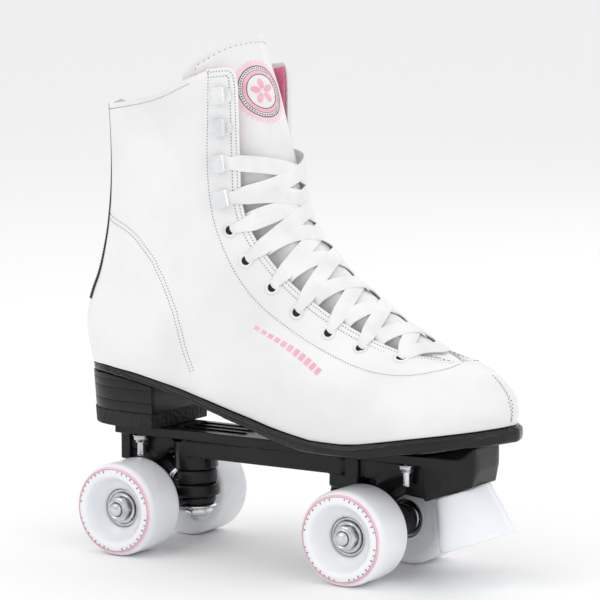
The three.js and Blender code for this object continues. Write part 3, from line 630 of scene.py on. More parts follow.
# --- Tongue badge ------------------------------------------------------------------------
# A round pink badge with a saw-tooth rim, three thin rings and a plain five-petal
# flower, printed on the tongue a little to its right.
BADGE_RIGHT, BADGE_ALONG = 8.0, 0.83    # mm right of the tongue's middle, share of its length
TOOTH = 1.5                             # depth of the rim's teeth, mm
BEADS, BEAD, BEAD_RING = 54, 0.5, 13.9  # how many, their radius, and the radius they lie on
PETALS, PETAL_MIDDLE, PETAL_LENGTH, PETAL_WIDTH = 5, 4.6, 6.2, 3.8
# shares across and along the tongue, and how far each is in mm over the leather
WIDE, LONG = np.linspace(0.2, 0.95, 76), np.linspace(0.55, 1, 46)
spread = tongue_place(np.tile(WIDE, len(LONG)), np.repeat(LONG, len(WIDE)))
spread = spread.reshape(len(LONG), len(WIDE), 3)
girth = np.cumsum(np.linalg.norm(np.diff(spread, axis=1, prepend=spread[:, :1]), axis=2), axis=1)
girth -= np.array([np.interp(0.5, WIDE, row) for row in girth])[:, None]
spine = tongue_place(np.full(len(LONG), 0.5), LONG)
travel = np.cumsum(np.linalg.norm(np.diff(spine, axis=0, prepend=spine[:1]), axis=1))
PRINT_PINK, PALE_PINK, PRINT_GREY, PRINT_WHITE = (
    surface_finish(name, dark, light, (0.45, 0.6), 1500, 120, 0.1)
    for name, dark, light in (("print_pink", (0.86, 0.40, 0.50), (0.92, 0.50, 0.59)),
                              ("pale_pink", (0.88, 0.58, 0.66), (0.92, 0.66, 0.73)),
                              ("print_grey", (0.05, 0.05, 0.06), (0.10, 0.10, 0.11)),
                              ("print_white", (0.80, 0.78, 0.79), (0.88, 0.86, 0.87))))


def on_tongue(right, up, lift):
    """A point of the badge, in mm to the right and up from its middle, along the leather."""
    right = np.asarray(right, float) + BADGE_RIGHT
    v = np.interp(np.interp(BADGE_ALONG, LONG, travel) + np.asarray(up, float), travel, LONG)
    rows = [np.array([np.interp(at, LONG, column) for column in girth.T]) for at in v]
    u = np.array([np.interp(reach, row, WIDE) for reach, row in zip(right, rows)])
    return tongue_place(u, v, lift)


def printed_ring(bm, inner, outer, lift, teeth):
    """A printed band between two radii; with teeth its outer edge is a saw."""
    made = bmesh.ops.create_grid(bm, x_segments=144, y_segments=4, size=0.5)["verts"]
    share = flat_places(made) + 0.5
    angle = share[:, 0] * 2 * math.pi
    tooth = TOOTH * np.abs((share[:, 0] * teeth) % 1 - 0.5) * 2 if teeth else 0
    radius = inner + (outer - tooth - inner) * share[:, 1]
    lay(made, on_tongue(radius * np.cos(angle), radius * np.sin(angle), lift))
    bmesh.ops.remove_doubles(bm, verts=made, dist=1e-6)


# each piece's bands: inner and outer radius, lift, teeth
for name, rings, material in (
        ("badge_rim", ((15.2, 19.0, 0.10, 36),), PALE_PINK),
        ("badge_lines", ((14.8, 15.4, 0.18, 0), (9.9, 10.4, 0.18, 0), (12.6, 12.9, 0.18, 0)), PRINT_GREY),
        ("badge_band", ((10.6, 12.5, 0.16, 0),), PRINT_PINK),
        ("badge_ground", ((0.2, 15.0, 0.12, 0),), PRINT_WHITE)):
    shape = bmesh.new()
    for ring in rings:
        printed_ring(shape, *ring)
    finished(link_mesh(faced(shape, (1, 0, 0)), name), material, "skate_body")

beads = bmesh.new()
for bead in range(BEADS):
    made = bmesh.ops.create_circle(beads, cap_ends=True, cap_tris=True, segments=8, radius=BEAD)["verts"]
    angle = bead * 2 * math.pi / BEADS
    flat = flat_places(made) + BEAD_RING * np.array([math.cos(angle), math.sin(angle)])
    lay(made, on_tongue(flat[:, 0], flat[:, 1], 0.2))
finished(link_mesh(faced(beads, (1, 0, 0)), "badge_beads"), PRINT_GREY, "skate_body")

flower = bmesh.new()
for petal in range(PETALS):
    made = bmesh.ops.create_circle(flower, cap_ends=True, cap_tris=True, segments=20, radius=1)["verts"]
    angle = petal * 2 * math.pi / PETALS + math.pi / 2
    flat = flat_places(made)
    out = PETAL_MIDDLE + PETAL_LENGTH / 2 * flat[:, 0]
    aside = PETAL_WIDTH / 2 * flat[:, 1]
    lay(made, on_tongue(out * math.cos(angle) - aside * math.sin(angle),
                        out * math.sin(angle) + aside * math.cos(angle), 0.24))
finished(link_mesh(faced(flower, (1, 0, 0)), "badge_flower"), PRINT_PINK, "skate_body")


# --- Side print ----------------------------------------------------------------------------
# Plain pink dashes that grow and shrink, printed in a row below the facing on each side.
DASH_FROM, DASH_TO = (0.425, 0.475), (0.268, 0.552)
DASHES = 11
DASH_TALL, DASH_SHORTER = 4.6, 1.4      # height of the middle dash, and how much less at the ends, mm
DASH_WIDE, DASH_SLANT = 0.66, 0.35      # shares of the space for one dash
UP_STEP, ROUND_STEP = 0.0080, 0.0022    # a mm across the row, as height share and place around
prints = bmesh.new()
for name, side in SIDES:
    for dash in range(DASHES):
        made = bmesh.ops.create_grid(prints, x_segments=4, y_segments=3, size=0.5)["verts"]
        flat = flat_places(made)
        start = (dash + 0.5) / DASHES
        tall = DASH_TALL - DASH_SHORTER * abs(2 * start - 1)
        share = start + (flat[:, 0] + DASH_SLANT * flat[:, 1]) * DASH_WIDE / DASHES
        height = DASH_FROM[0] + (DASH_TO[0] - DASH_FROM[0]) * share + flat[:, 1] * tall * UP_STEP
        place = DASH_FROM[1] + (DASH_TO[1] - DASH_FROM[1]) * share + flat[:, 1] * tall * ROUND_STEP
        lay(made, on_boot(height, side * place, 0.12))
        if side < 0:
            bmesh.ops.reverse_faces(prints, faces=list({face for vert in made for face in vert.link_faces}))
finished(link_mesh(prints, "side_dashes"), PRINT_PINK, "skate_body")


# --- Eyelets ---------------------------------------------------------------------------
# Seven rolled eyelets a side, white-painted brass, each with a hole into the boot. A
# near-black plug in each hole is painted shade, for the dark inside the boot.
LACE_POINTS = [[0.397, 0.723], [0.427, 0.66], [0.47, 0.623], [0.52, 0.595], [0.587, 0.59],
               [0.657, 0.578], [0.733, 0.583], [0.807, 0.608], [0.877, 0.615]]
EYELETS = 7
EYELET_PAINT = surface_finish("eyelet_paint", (0.70, 0.71, 0.73), (0.84, 0.85, 0.86), (0.18, 0.30),
                              600, 60, 0.05, Coat_Weight=0.5, Coat_Roughness=0.12)
# painted shade: a near-black plug fills each eyelet hole in place of the shadow inside the boot
HOLE_SHADE = surface_finish("painted_hole_shade", (0.006, 0.006, 0.007), (0.012, 0.012, 0.013), (0.7, 0.9), 900, 60)
# half section of the rolled rim: radius, height
EYELET_SECTION = [(2.5, -1.6), (2.5, 0.35), (2.75, 0.75), (3.2, 0.95), (3.8, 0.85), (4.25, 0.45), (4.4, 0.0)]


def seat(height, around):
    """A frame on the facing, in mm: X up along it, Z out of it."""
    height, around = np.array([height]), np.array([around])
    here = on_boot(height, around, np.array([OVERLAP]))[0]
    out = Vector(outward(height, around)[0]).normalized()
    above = Vector(surface(height + 0.01, around)[0] - surface(height, around)[0])
    up = (above - out * above.dot(out)).normalized()
    turn = Matrix((up, out.cross(up), out)).transposed().to_4x4()
    return Matrix.Translation(Vector(here) * MM) @ turn @ Matrix.Scale(MM, 4)


def lathe(section, segments=32, closed=False):
    """A turned shape round Z, in mm, as a mesh to be placed."""
    bm = bmesh.new()
    verts = [bm.verts.new((r, 0, h)) for r, h in section]
    edges = [bm.edges.new(pair) for pair in zip(verts, verts[1:])]
    if closed:
        edges.append(bm.edges.new((verts[-1], verts[0])))
    bmesh.ops.spin(bm, geom=verts + edges, cent=(0, 0, 0), axis=(0, 0, 1),
                   angle=2 * math.pi, steps=segments, use_merge=True)
    bmesh.ops.remove_doubles(bm, verts=bm.verts, dist=1e-4)
    bmesh.ops.dissolve_degenerate(bm, edges=bm.edges, dist=1e-5)
    bmesh.ops.recalc_face_normals(bm, faces=bm.faces)
    return shape_of(bm)


def set_in(bm, mesh, matrix=Matrix()):
    """Adds a copy of a shape to the piece, set in a frame."""
    one = mesh.copy()
    one.transform(matrix)
    bm.from_mesh(one)
    bpy.data.meshes.remove(one)


def shape_of(bm):
    """The bmesh's shape as a mesh to be placed."""
    mesh = bpy.data.meshes.new("shape")
    bm.to_mesh(mesh)
    bm.free()
    return mesh


rims, hole_shades = bmesh.new(), bmesh.new()
rim_shape = lathe(EYELET_SECTION)
# each plug, a near-black disc in the eyelet, is painted shade
hole_shade_shape = lathe([(0.001, 0.12), (2.55, 0.12), (2.55, -1.0), (0.001, -1.0)], 24)
for height, place in LACE_POINTS[:EYELETS]:
    for side in (1, -1):
        set_in(rims, rim_shape, seat(height, side * place))
        set_in(hole_shades, hole_shade_shape, seat(height, side * place))
finished(link_mesh(rims, "eyelets"), EYELET_PAINT, "skate_body")
finished(link_mesh(hole_shades, "eyelet_hole_shade"), HOLE_SHADE, "skate_body")


# --- Speed hooks -------------------------------------------------------------------------
# Four pressed steel hooks a side above the eyelets. Each is a rounded foot riveted to
# the facing, and a strip that bends up at the front and back over the lace.
HOOKS = LACE_POINTS[EYELETS:] + [[0.930, 0.628], [0.970, 0.635]]
HOOK_WIDTH, FOOT_HALF = 9.6, (4.7, 5.4)
STRIP_WAIST = 0.28    # how much narrower the bend is, as a share
# the strip seen from its side: forward, out
HOOK_LINE = [(-7.0, 4.7), (-4.6, 4.3), (-1.8, 4.2), (0.6, 3.9), (1.9, 2.7), (1.6, 1.3), (0.2, 0.75),
             (-2.0, 0.7), (-4.4, 0.7)]
HOOK_STEEL = surface_finish("hook_steel", (0.70, 0.72, 0.74), (0.86, 0.87, 0.88), (0.16, 0.28),
                            500, 70, 0.04, Metallic=0.55, Coat_Weight=0.4, Coat_Roughness=0.15)


def hook_place(u, v):
    """The strip, with a rounded free end and a narrower bend."""
    point = at_row(run(HOOK_LINE, 6), v)
    round_end = np.sqrt(np.clip(1 - (np.clip(0.20 - v, 0, 1) / 0.20) ** 2, 0.05, 1))
    waist = 1 - STRIP_WAIST * np.exp(-((v - 0.62) / 0.16) ** 2)
    return np.stack([(u - 0.5) * HOOK_WIDTH * round_end * waist, point[:, 0], point[:, 1]], 1) / MM


def foot_place(u, v):
    """The foot, a rounded oblong with its edge turned down onto the leather."""
    x, y = np.cos(2 * math.pi * u), np.sin(2 * math.pi * u)
    return np.stack([FOOT_HALF[0] * np.sign(x) * np.abs(x) ** 0.8 * v,
                     0.2 + FOOT_HALF[1] * np.sign(y) * np.abs(y) ** 0.8 * v,
                     0.55 - 0.3 * v ** 6], 1) / MM


foot_shape = mapped_grid(36, 6, foot_place)
bmesh.ops.remove_doubles(foot_shape, verts=foot_shape.verts, dist=1e-4)
hook_shapes = [shape_of(faced(bm, (0, 0, 1))) for bm in (mapped_grid(12, 48, hook_place), foot_shape)]
hooks = bmesh.new()
for height, place in HOOKS:
    for side in (1, -1):
        for shape in hook_shapes:
            set_in(hooks, shape, seat(height, side * place) @ Matrix.Diagonal((1, side, 1, 1)))
bmesh.ops.recalc_face_normals(hooks, faces=hooks.faces)
hook_piece = link_mesh(hooks, "speed_hooks")
finished(hook_piece, HOOK_STEEL, "skate_body")
thickened(hook_piece, 0.75, 0.2, offset=0)


# --- Lace --------------------------------------------------------------------------------
# One flat white cotton lace, 9.5 mm wide. Each run comes out of an eyelet, crosses the
# tongue and goes under the other facing; at the hooks it goes round their stems.
LACE_WIDTH, LACE_WALL = 9.5, 1.0
THREADS_ACROSS, THREADS_ALONG = 13, 90


def lace_material():
    """Woven cotton: rows of raised threads that follow the lace."""
    material = surface_finish("lace_cotton", (0.80, 0.80, 0.80), (0.88, 0.88, 0.88), (0.8, 0.92),
                              2000, 70, 0.2, Sheen_Weight=0.2)
    nodes, links = material.node_tree.nodes, material.node_tree.links
    place = nodes["Texture Coordinate"]
    spread = nodes.new("ShaderNodeMapping")
    spread.inputs["Scale"].default_value = (THREADS_ACROSS, THREADS_ALONG, 1)
    weave = nodes.new("ShaderNodeTexVoronoi")
    weave.voronoi_dimensions = "2D"
    weave.distance = "CHEBYCHEV"
    weave.inputs["Randomness"].default_value = 0.12
    weave.inputs["Scale"].default_value = 1
    raised = nodes.new("ShaderNodeBump")
    raised.invert = True
    raised.inputs["Strength"].default_value = 0.55
    raised.inputs["Distance"].default_value = 0.0003
    links.new(place.outputs["UV"], spread.inputs["Vector"])
    links.new(spread.outputs["Vector"], weave.inputs["Vector"])
    links.new(weave.outputs["Distance"], raised.inputs["Height"])
    links.new(nodes["Bump"].outputs["Normal"], raised.inputs["Normal"])
    links.new(raised.outputs["Normal"], nodes["Principled BSDF"].inputs["Normal"])
    return material


CROWN_AHEAD = 0.05    # how much higher, as a share, a run is where it crosses the tongue's middle
LIFT_OFF = 0.35 + OVERLAP + 0.6    # how far a run's middle line is off the upper's form, mm
OVER, PRESSED = 1.25, 0.5          # the upper of two runs rises at the crossing, and both are pulled in
HOLE_DIVE, FACING_DIVE = 2.4, 5.0  # how far it goes into its eyelet, and under the other facing
HOLE_FOLD, HOOK_FOLD = 0.50, 0.35  # how much narrower it is there, as a share
ARCH = 0.35                        # how much its edges curl down
THROAT_BOW = 0.024    # how far the lowest run bows towards the toe, as a share of the height


def opening_at(height):
    edge = run(OPENING_EDGE)
    return np.interp(height, edge[:, 0], edge[:, 1])


def taut_line(start, end, across):
    """Heights that keep a run in one plane, which holds both its ends and the middle of
    the tongue between them."""
    ends = surface([start[0], end[0]], [start[1], 2 - end[1]])
    crown = outward(np.array([(start[0] + end[0]) / 2 + CROWN_AHEAD]), np.ones(1))[0]
    plane = np.cross(ends[1] - ends[0], crown)
    plane *= np.sign(plane[2])
    low, high = np.full_like(across, 0.2), np.full_like(across, 1.05)
    for halving in range(24):
        middle = (low + high) / 2
        above = (surface(middle, across) - ends[0]) @ plane > 0
        low, high = np.where(above, low, middle), np.where(above, middle, high)
    return (low + high) / 2


def band(height, across, lift, aside):
    """Points off the boot, moved aside in mm along the direction that runs up it."""
    above = surface(height + 0.01, across) - surface(height - 0.01, across)
    ahead = above / np.linalg.norm(above, axis=1, keepdims=True)
    return on_boot(height, across, lift) + ahead * aside[:, None]


def lace_run(start, end, side, over, ends_outside):
    """A run from the eyelet at start to the other side's place at end, which it goes under
    or, at a hook, stays outside."""
    def place(u, v):
        v = eased(0, 1, v) * 0.35 + v * 0.65
        v = -0.012 + 1.012 * v
        across = start[1] + (2 - end[1] - start[1]) * v
        height = taut_line(start, end, across)
        lift = np.full_like(v, LIFT_OFF)
        lift += (OVER if over else 0.0) * np.exp(-((v - 0.5) / 0.20) ** 2)
        lift -= PRESSED * np.exp(-((v - 0.5) / 0.3) ** 2)
        into_hole = eased(0.018, -0.012, v)
        lift -= HOLE_DIVE * into_hole
        if ends_outside:
            lift += 0.5 * eased(0.93, 1.0, v)
            narrow = 1 - HOOK_FOLD * eased(0.90, 1.0, v)
        else:
            lift -= FACING_DIVE * eased(-0.045, 0.025, across - (2 - opening_at(height)))
            narrow = np.ones_like(v)
        narrow = narrow * (1 - HOLE_FOLD * eased(0.11, 0.0, v))
        arch = -ARCH * (2 * u - 1) ** 2 - 0.6 * into_hole * (2 * u - 1) ** 2
        return band(height, side * across, lift + arch, (u - 0.5) * LACE_WIDTH * narrow)
    return place


def throat_run(u, v):
    """The lowest run, across the end of the opening and down into both first eyelets."""
    across = LACE_POINTS[0][1] + (2 - 2 * LACE_POINTS[0][1]) * v
    height = taut_line(LACE_POINTS[0], LACE_POINTS[0], across) - THROAT_BOW * np.sin(math.pi * v) ** 2
    near_hole = eased(0.06, 0, v) + eased(0.94, 1, v)
    lift = OVERLAP + 0.9 - 2.6 * near_hole - 0.3 * (2 * u - 1) ** 2
    return band(height, across, lift, (u - 0.5) * LACE_WIDTH * (1 - HOLE_FOLD * near_hole))


runs = [lace_run(LACE_POINTS[step], LACE_POINTS[step + 1], side, (step % 2 == 0) == (side > 0),
                 step + 1 >= EYELETS)
        for step in range(len(LACE_POINTS) - 1) for side in (1, -1)]
lace_shape = bmesh.new()
lace_shape.loops.layers.uv.new("cells")
for place in runs + [throat_run]:
    set_in(lace_shape, shape_of(faced(mapped_grid(10, 60, place), (1, 0, 1))))
lace = link_mesh(lace_shape, "flat_lace")
finished(lace, lace_material(), "skate_body")
thickened(lace, LACE_WALL, 0.35, offset=0)
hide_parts("lace")


# --- Footbed -------------------------------------------------------------------------------
# A thin padded footbed in pale woven cloth lies inside, on the sole.
FOOTBED_IN = 8.5      # how far inside the upper's outer face its edge is, mm
FOOTBED_LOW, FOOTBED_HIGH = 1.2, 5.2    # its faces over the upper's lower edge
FOOTBED_CLOTH = surface_finish("footbed_cloth", (0.62, 0.60, 0.57), (0.74, 0.72, 0.69), (0.85, 0.95),
                               1700, 50, 0.5, 0.0004, Sheen_Weight=0.2)


def sole_plan(place, share, out):
    """Plan points of the sole: from the right edge to the left at each place, in mm."""
    sides = []
    for side in (-1, 1):
        flat = outward(np.zeros_like(place), side * place)
        flat[:, 2] = 0
        flat /= np.maximum(np.linalg.norm(flat, axis=1, keepdims=True), 1e-9)
        sides.append(surface(np.zeros_like(place), side * place) + flat * np.asarray(out)[..., None])
    return sides[0] + (sides[1] - sides[0]) * share[:, None]


def slab(begin, end, cells, out, heights, spread_out=False):
    """A flat layer under the foot. heights(place, edge) gives its low and high faces, and
    with spread_out it stands out past the upper only in front of the heel."""
    bm = bmesh.new()
    bmesh.ops.create_grid(bm, x_segments=14, y_segments=cells, size=0.5)
    share = flat_places(bm.verts) + 0.5
    rounded = 0.5 - 0.5 * np.cos(math.pi * share[:, 1])
    place = begin + (end - begin) * (0.6 * rounded + 0.4 * share[:, 1])
    stands = np.full_like(place, out)
    if spread_out:
        stands = stands * eased(0.12, 0.42, place)
    points = sole_plan(place, share[:, 0], stands)
    low, points[:, 2] = heights(place, surface(np.zeros_like(place), place)[:, 2])
    lay(bm.verts, points)
    bottoms = {(round(vert.co.x, 7), round(vert.co.y, 7)): bottom for vert, bottom in zip(bm.verts, low)}
    lower = bmesh.ops.extrude_face_region(bm, geom=bm.faces[:], use_keep_orig=True)
    for item in lower["geom"]:
        if isinstance(item, bmesh.types.BMVert):
            item.co.z = bottoms[(round(item.co.x, 7), round(item.co.y, 7))] * MM
    bmesh.ops.recalc_face_normals(bm, faces=bm.faces)
    return bm


def footbed_heights(place, edge):
    return edge + FOOTBED_LOW, edge + FOOTBED_HIGH


footbed = link_mesh(slab(0.06, 0.95, 70, -FOOTBED_IN, footbed_heights), "padded_footbed")
finished(footbed, FOOTBED_CLOTH, "skate_body")
soft_edges(footbed, 1.2, 3)
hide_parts("insole")


# --- Outsole -----------------------------------------------------------------------------
# A moulded black rubber sole with a thin welt that stands out past the upper, thicker
# under the ball and the toes.
SOLE_RUBBER = surface_finish("sole_rubber", (0.004, 0.004, 0.004), (0.010, 0.010, 0.011), (0.16, 0.26),
                             1300, 40, 0.14, Specular_IOR_Level=0.34)
THICK_AT, THICK = [0, 0.35, 0.5, 0.6, 0.8, 1], [4.2, 4.5, 6.4, 7.2, 7.8, 9]
WELT = 3.0            # how far it stands out in front of the heel, mm
SOLE_GAP, FIT = 0.8, 0.3
DECK_TOP = 71.4       # the plate's top face
SOLE_FROM, SOLE_TO = 0.0008, 0.9992    # just short of the upper's end points


def sole_under(place, edge):
    return np.maximum(edge - SOLE_GAP - np.interp(place, THICK_AT, THICK), DECK_TOP + FIT)


def welt_heights(place, edge):
    return edge - SOLE_GAP - 1.7, edge - SOLE_GAP + 0.2


def body_heights(place, edge):
    return sole_under(place, edge), edge - SOLE_GAP - 0.2


def moulded(bm, name, cell, rounds):
    """Melts overlapping solids into one and rounds its edges, as a mould does."""
    piece = link_mesh(bm, name)
    melt = piece.modifiers.new("melt", "REMESH")
    melt.mode = "VOXEL"
    melt.voxel_size = cell * MM
    melt.use_smooth_shade = True
    round_off = piece.modifiers.new("round", "SMOOTH")
    round_off.factor = 0.5
    round_off.iterations = rounds
    bpy.context.view_layer.update()
    melted = piece.evaluated_get(bpy.context.evaluated_depsgraph_get())
    piece.data = bpy.data.meshes.new_from_object(melted)
    piece.modifiers.clear()
    return piece


for name, out, heights, cell, rounds in (("sole_welt", 1.7, welt_heights, 1.1, 1),
                                        ("sole_body", WELT, body_heights, 1.25, 14)):
    layer = moulded(slab(SOLE_FROM, SOLE_TO, 150, out, heights, spread_out=True), name, cell, rounds)
    finished(layer, SOLE_RUBBER, "skate_body")
    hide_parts("outsole")


# --- Heel ----------------------------------------------------------------------------------
# A stacked black heel: pressed layers with fine lines between them, and a rubber top
# lift with a rough skin at the bottom, which sits on the plate.
HEEL_LAYERS = (80.7, 86.9, 94.4, 98.9, 112.0)    # heights of the joins between the layers
LINE, LINE_DEPTH = 0.4, 0.45
TOP_LIFT = 80.4
HEEL_BREAST = 0.29    # place around the boot of its front face
TAPER, TAPER_OVER = 0.043, 32    # how much smaller it is at the plate, and over what height
HEEL_FIBRE = surface_finish("heel_fibre", (0.005, 0.005, 0.005), (0.013, 0.013, 0.014), (0.30, 0.46),
                            1500, 55, 0.22, Specular_IOR_Level=0.3)
LIFT_RUBBER = surface_finish("lift_rubber", (0.006, 0.006, 0.006), (0.022, 0.022, 0.023), (0.60, 0.80),
                             420, 90, 0.9, 0.0009, Specular_IOR_Level=0.35)


def tapered(bm):
    """Draws a layer in towards the middle of the heel's front face, more the lower it is."""
    breast = float(surface(0, HEEL_BREAST)[0]) * MM
    for vert in bm.verts:
        scale = 1 - TAPER + TAPER * min(max((vert.co.z / MM - DECK_TOP) / TAPER_OVER, 0), 1)
        vert.co.x = breast + (vert.co.x - breast) * scale
        vert.co.y *= scale
    return bm


def layer_heights(low, high):
    def heights(place, edge):
        top = np.minimum(high, sole_under(place, edge) - FIT)
        return np.minimum(low, top - 0.2), top
    return heights


def lift_heights(place, edge):
    return np.full_like(edge, DECK_TOP + FIT), np.full_like(edge, TOP_LIFT)


heel = bmesh.new()
layers = [(low, high - LINE, 0.0) for low, high in zip(HEEL_LAYERS, HEEL_LAYERS[1:])]
for low, high, out in layers + [(HEEL_LAYERS[0], HEEL_LAYERS[-1], -LINE_DEPTH)]:
    layer = slab(SOLE_FROM, HEEL_BREAST, 60, out, layer_heights(low, high))
    set_in(heel, shape_of(tapered(layer)))
stacked = link_mesh(heel, "stacked_heel")
finished(stacked, HEEL_FIBRE, "skate_body")
soft_edges(stacked, 0.25, angle=40)
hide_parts("heel_block")
top_lift = link_mesh(tapered(slab(SOLE_FROM, HEEL_BREAST, 60, 0.5, lift_heights)), "top_lift")
finished(top_lift, LIFT_RUBBER, "skate_body")
soft_edges(top_lift, 0.9, 3, angle=40)
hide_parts("heel_top_lift")


# --- Plate ---------------------------------------------------------------------------------
# One black glass-filled nylon moulding with a flat deck, a web below it, bosses for both
# kingpins and pivots, and a closed nose for the toe stop. Its edges are all rounded.
BLACK_NYLON = surface_finish("black_nylon", (0.004, 0.004, 0.004), (0.009, 0.009, 0.010), (0.20, 0.32),
                             1600, 30, 0.08, Specular_IOR_Level=0.30)
DECK_WALL, DECK_HALF = 5.8, 18
RIBS_FROM, RIBS_TO, RIB_SPACE = -70, -28, 9    # three ribs on the deck in front of the heel
NOSE_FROM = 93


def cad_copy(name):
    """The frame's own solid, with its corners joined up."""
    bm = bmesh.new()
    bm.from_mesh(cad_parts[name].data)
    bmesh.ops.remove_doubles(bm, verts=bm.verts, dist=1e-6)
    return bm


def add_block(bm, low, high):
    """A box between two corners, in mm."""
    low, high = Vector(low) * MM, Vector(high) * MM
    matrix = Matrix.Translation((low + high) / 2) @ Matrix.Diagonal((*(high - low), 1))
    bmesh.ops.create_cube(bm, size=1, matrix=matrix)


def along_axis(origin, axis):
    """A frame in mm whose Z runs along an axis."""
    turn = Vector(axis).to_track_quat("Z", "Y").to_matrix().to_4x4()
    return Matrix.Translation(Vector(origin) * MM) @ turn @ Matrix.Scale(MM, 4)


plate_solid = cad_copy("plate")
for y in (-RIB_SPACE, RIB_SPACE, 0):
    add_block(plate_solid, (RIBS_FROM, y - 1, 70.6), (RIBS_TO, y + 1, 72.5))
nose = cad_copy("plate")
behind_nose = [vert for vert in nose.verts if vert.co.x < (NOSE_FROM - 1) * MM]
bmesh.ops.delete(nose, geom=behind_nose, context="VERTS")
for side in (-1, 1):
    for level in (DECK_TOP, DECK_TOP - DECK_WALL):
        nose.verts.new(Vector((NOSE_FROM, side * DECK_HALF, level)) * MM)
bmesh.ops.delete(nose, geom=nose.faces[:] + nose.edges[:], context="EDGES_FACES")
bmesh.ops.convex_hull(nose, input=nose.verts[:])
set_in(plate_solid, shape_of(nose))
plate = moulded(plate_solid, "moulded_plate", 0.75, 3)
finished(plate, BLACK_NYLON, "skate_body")
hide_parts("plate")


# --- Fasteners ---------------------------------------------------------------------------------
# Zinc-plated steel. Nuts have chamfered corners and a round collar that holds their lock
# ring, and the threads are rows of ridges. Four bolts hold the plate to the boot.
ZINC = surface_finish("zinc", (0.52, 0.53, 0.55), (0.74, 0.75, 0.77), (0.16, 0.30), 700, 140, 0.06,
                      Metallic=1.0)
HEX_STEPS = 72
MOUNT_X, MOUNT_Y, MOUNT_RADIUS, MOUNT_END = {"rear": -98.0, "front": 82.3}, 14.3, 2.4, 53.0
MOUNT_NUT_TOP = 65.3


def hexagonal(mesh, flats, crown):
    """Makes the outermost part of a turned shape, up to its crown, a hexagon with chamfered
    corners."""
    for vert in mesh.vertices:
        radius = math.hypot(vert.co.x, vert.co.y)
        if radius > flats / 2 * 0.985:
            angle = math.atan2(vert.co.y, vert.co.x) % (math.pi / 3) - math.pi / 6
            wide = flats / 2 / math.cos(angle)
            vert.co.x *= wide / radius
            vert.co.y *= wide / radius
            drop = (wide - flats / 2) * 0.62
            vert.co.z += drop if vert.co.z < crown / 2 else -drop
    return mesh


def nut_shape(flats, hole, height):
    """A hexagon nut standing on z = 0, with a round collar for its nylon ring."""
    flat = flats / 2
    ring = flat * 0.86
    section = [(hole + 0.1, 0), (flat * 0.93, 0), (flat, 0.25), (flat, height * 0.68),
               (flat * 0.95, height * 0.70), (ring, height * 0.74), (ring, height * 0.93),
               (ring - 0.5, height), (hole + 0.9, height), (hole + 0.5, height * 0.90),
               (hole + 0.1, height * 0.90)]
    return hexagonal(lathe(section, HEX_STEPS, closed=True), flats, height * 0.7)


def threaded(radius, low, high, pitch, plain, end_round=0.7):
    """A bolt from low to high along Z: plain first, then threaded, with a rounded end."""
    section = [(0.001, low), (radius, low), (radius, low + plain)]
    height = low + plain + pitch / 2
    while height + pitch < high - end_round:
        section += [(radius * 0.86, height), (radius, height + pitch / 2)]
        height += pitch
    section += [(radius * 0.93, high - end_round), (radius * 0.72, high - end_round * 0.2), (0.001, high)]
    return lathe(section, 24)


def washer_shape(hole, radius, low, high):
    """A flat ring with its outer edges broken."""
    edge = (high - low) * 0.3
    return lathe([(hole, low), (radius - edge, low), (radius, low + edge), (radius, high - edge),
                  (radius - edge, high), (hole, high)], 40, closed=True)


def placed(mesh, matrix, name, material, body, slot, *nodes):
    """A finished piece from one turned shape set in a frame."""
    bm = bmesh.new()
    set_in(bm, mesh, matrix)
    piece = finished(link_mesh(bm, name), material, body)
    if nodes:
        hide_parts(*nodes)
    return piece


for end, x in MOUNT_X.items():
    for name, side in SIDES:
        prefix = end + "_" + name
        down = along_axis((x, side * MOUNT_Y, DECK_TOP), (0, 0, -1))
        placed(threaded(MOUNT_RADIUS, 0, DECK_TOP - MOUNT_END, 0.8, 9.0), down,
               prefix + "_mount_screw", ZINC, "skate_body", "zinc_steel", prefix + "_mount_bolt")
        under = along_axis((x, side * MOUNT_Y, MOUNT_NUT_TOP), (0, 0, -1))
        placed(nut_shape(8.0, MOUNT_RADIUS, 4.2), under, prefix + "_mount_locknut",
               ZINC, "skate_body", "zinc_steel", prefix + "_mount_nut")
        placed(washer_shape(2.5, 4.9, -0.25, 0.75), under, prefix + "_mount_washer",
               ZINC, "skate_body", "zinc_steel")


# --- Toe stop ------------------------------------------------------------------------------------
# A cast polyurethane cone, milky and slightly blue, leaning forward under the nose. One
# bolt goes up through it from a recess in its worn face.
STOP_TILT = math.radians(20.2)
STOP_TOP = (110.1, 0, 51.1)
STOP_URETHANE = surface_finish("stop_urethane", (0.78, 0.81, 0.87), (0.86, 0.885, 0.925),
                               (0.10, 0.20), 300, 12, 0.03, Subsurface_Weight=0.35,
                               Subsurface_Radius=(0.012, 0.014, 0.018),
                               Subsurface_Scale=0.5, Coat_Weight=0.6, Coat_Roughness=0.06)
# half sections from the plate down: radius, depth
STOP_SECTION = [(4.3, 0), (15.2, 0), (15.8, 0.25), (16.05, 0.9), (22.2, 27.6), (22.4, 28.6), (22.0, 29.3),
                (21.2, 29.6), (12.0, 29.6), (11.0, 29.2), (9.6, 26.0), (9.0, 20.9), (4.3, 20.7)]
HEAD_SECTION = [(3.0, 21.0), (6.1, 21.0), (6.5, 21.4), (6.5, 25.2), (6.0, 25.9), (3.3, 25.9), (3.1, 25.5),
                (3.0, 23.2)]
stop_frame = along_axis(STOP_TOP, (math.sin(STOP_TILT), 0, -math.cos(STOP_TILT)))
placed(lathe(STOP_SECTION, 96, closed=True), stop_frame, "toe_stop_cone", STOP_URETHANE, "skate_body",
       "white_urethane", "toe_stop")
stop_bolt = bmesh.new()
set_in(stop_bolt, threaded(3.8, -13, 21.2, 1.0, 4.0), stop_frame)
set_in(stop_bolt, lathe(HEAD_SECTION, 48, closed=True), stop_frame)
bolt = finished(link_mesh(stop_bolt, "toe_stop_screw"), ZINC, "skate_body")
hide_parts("toe_stop_bolt")


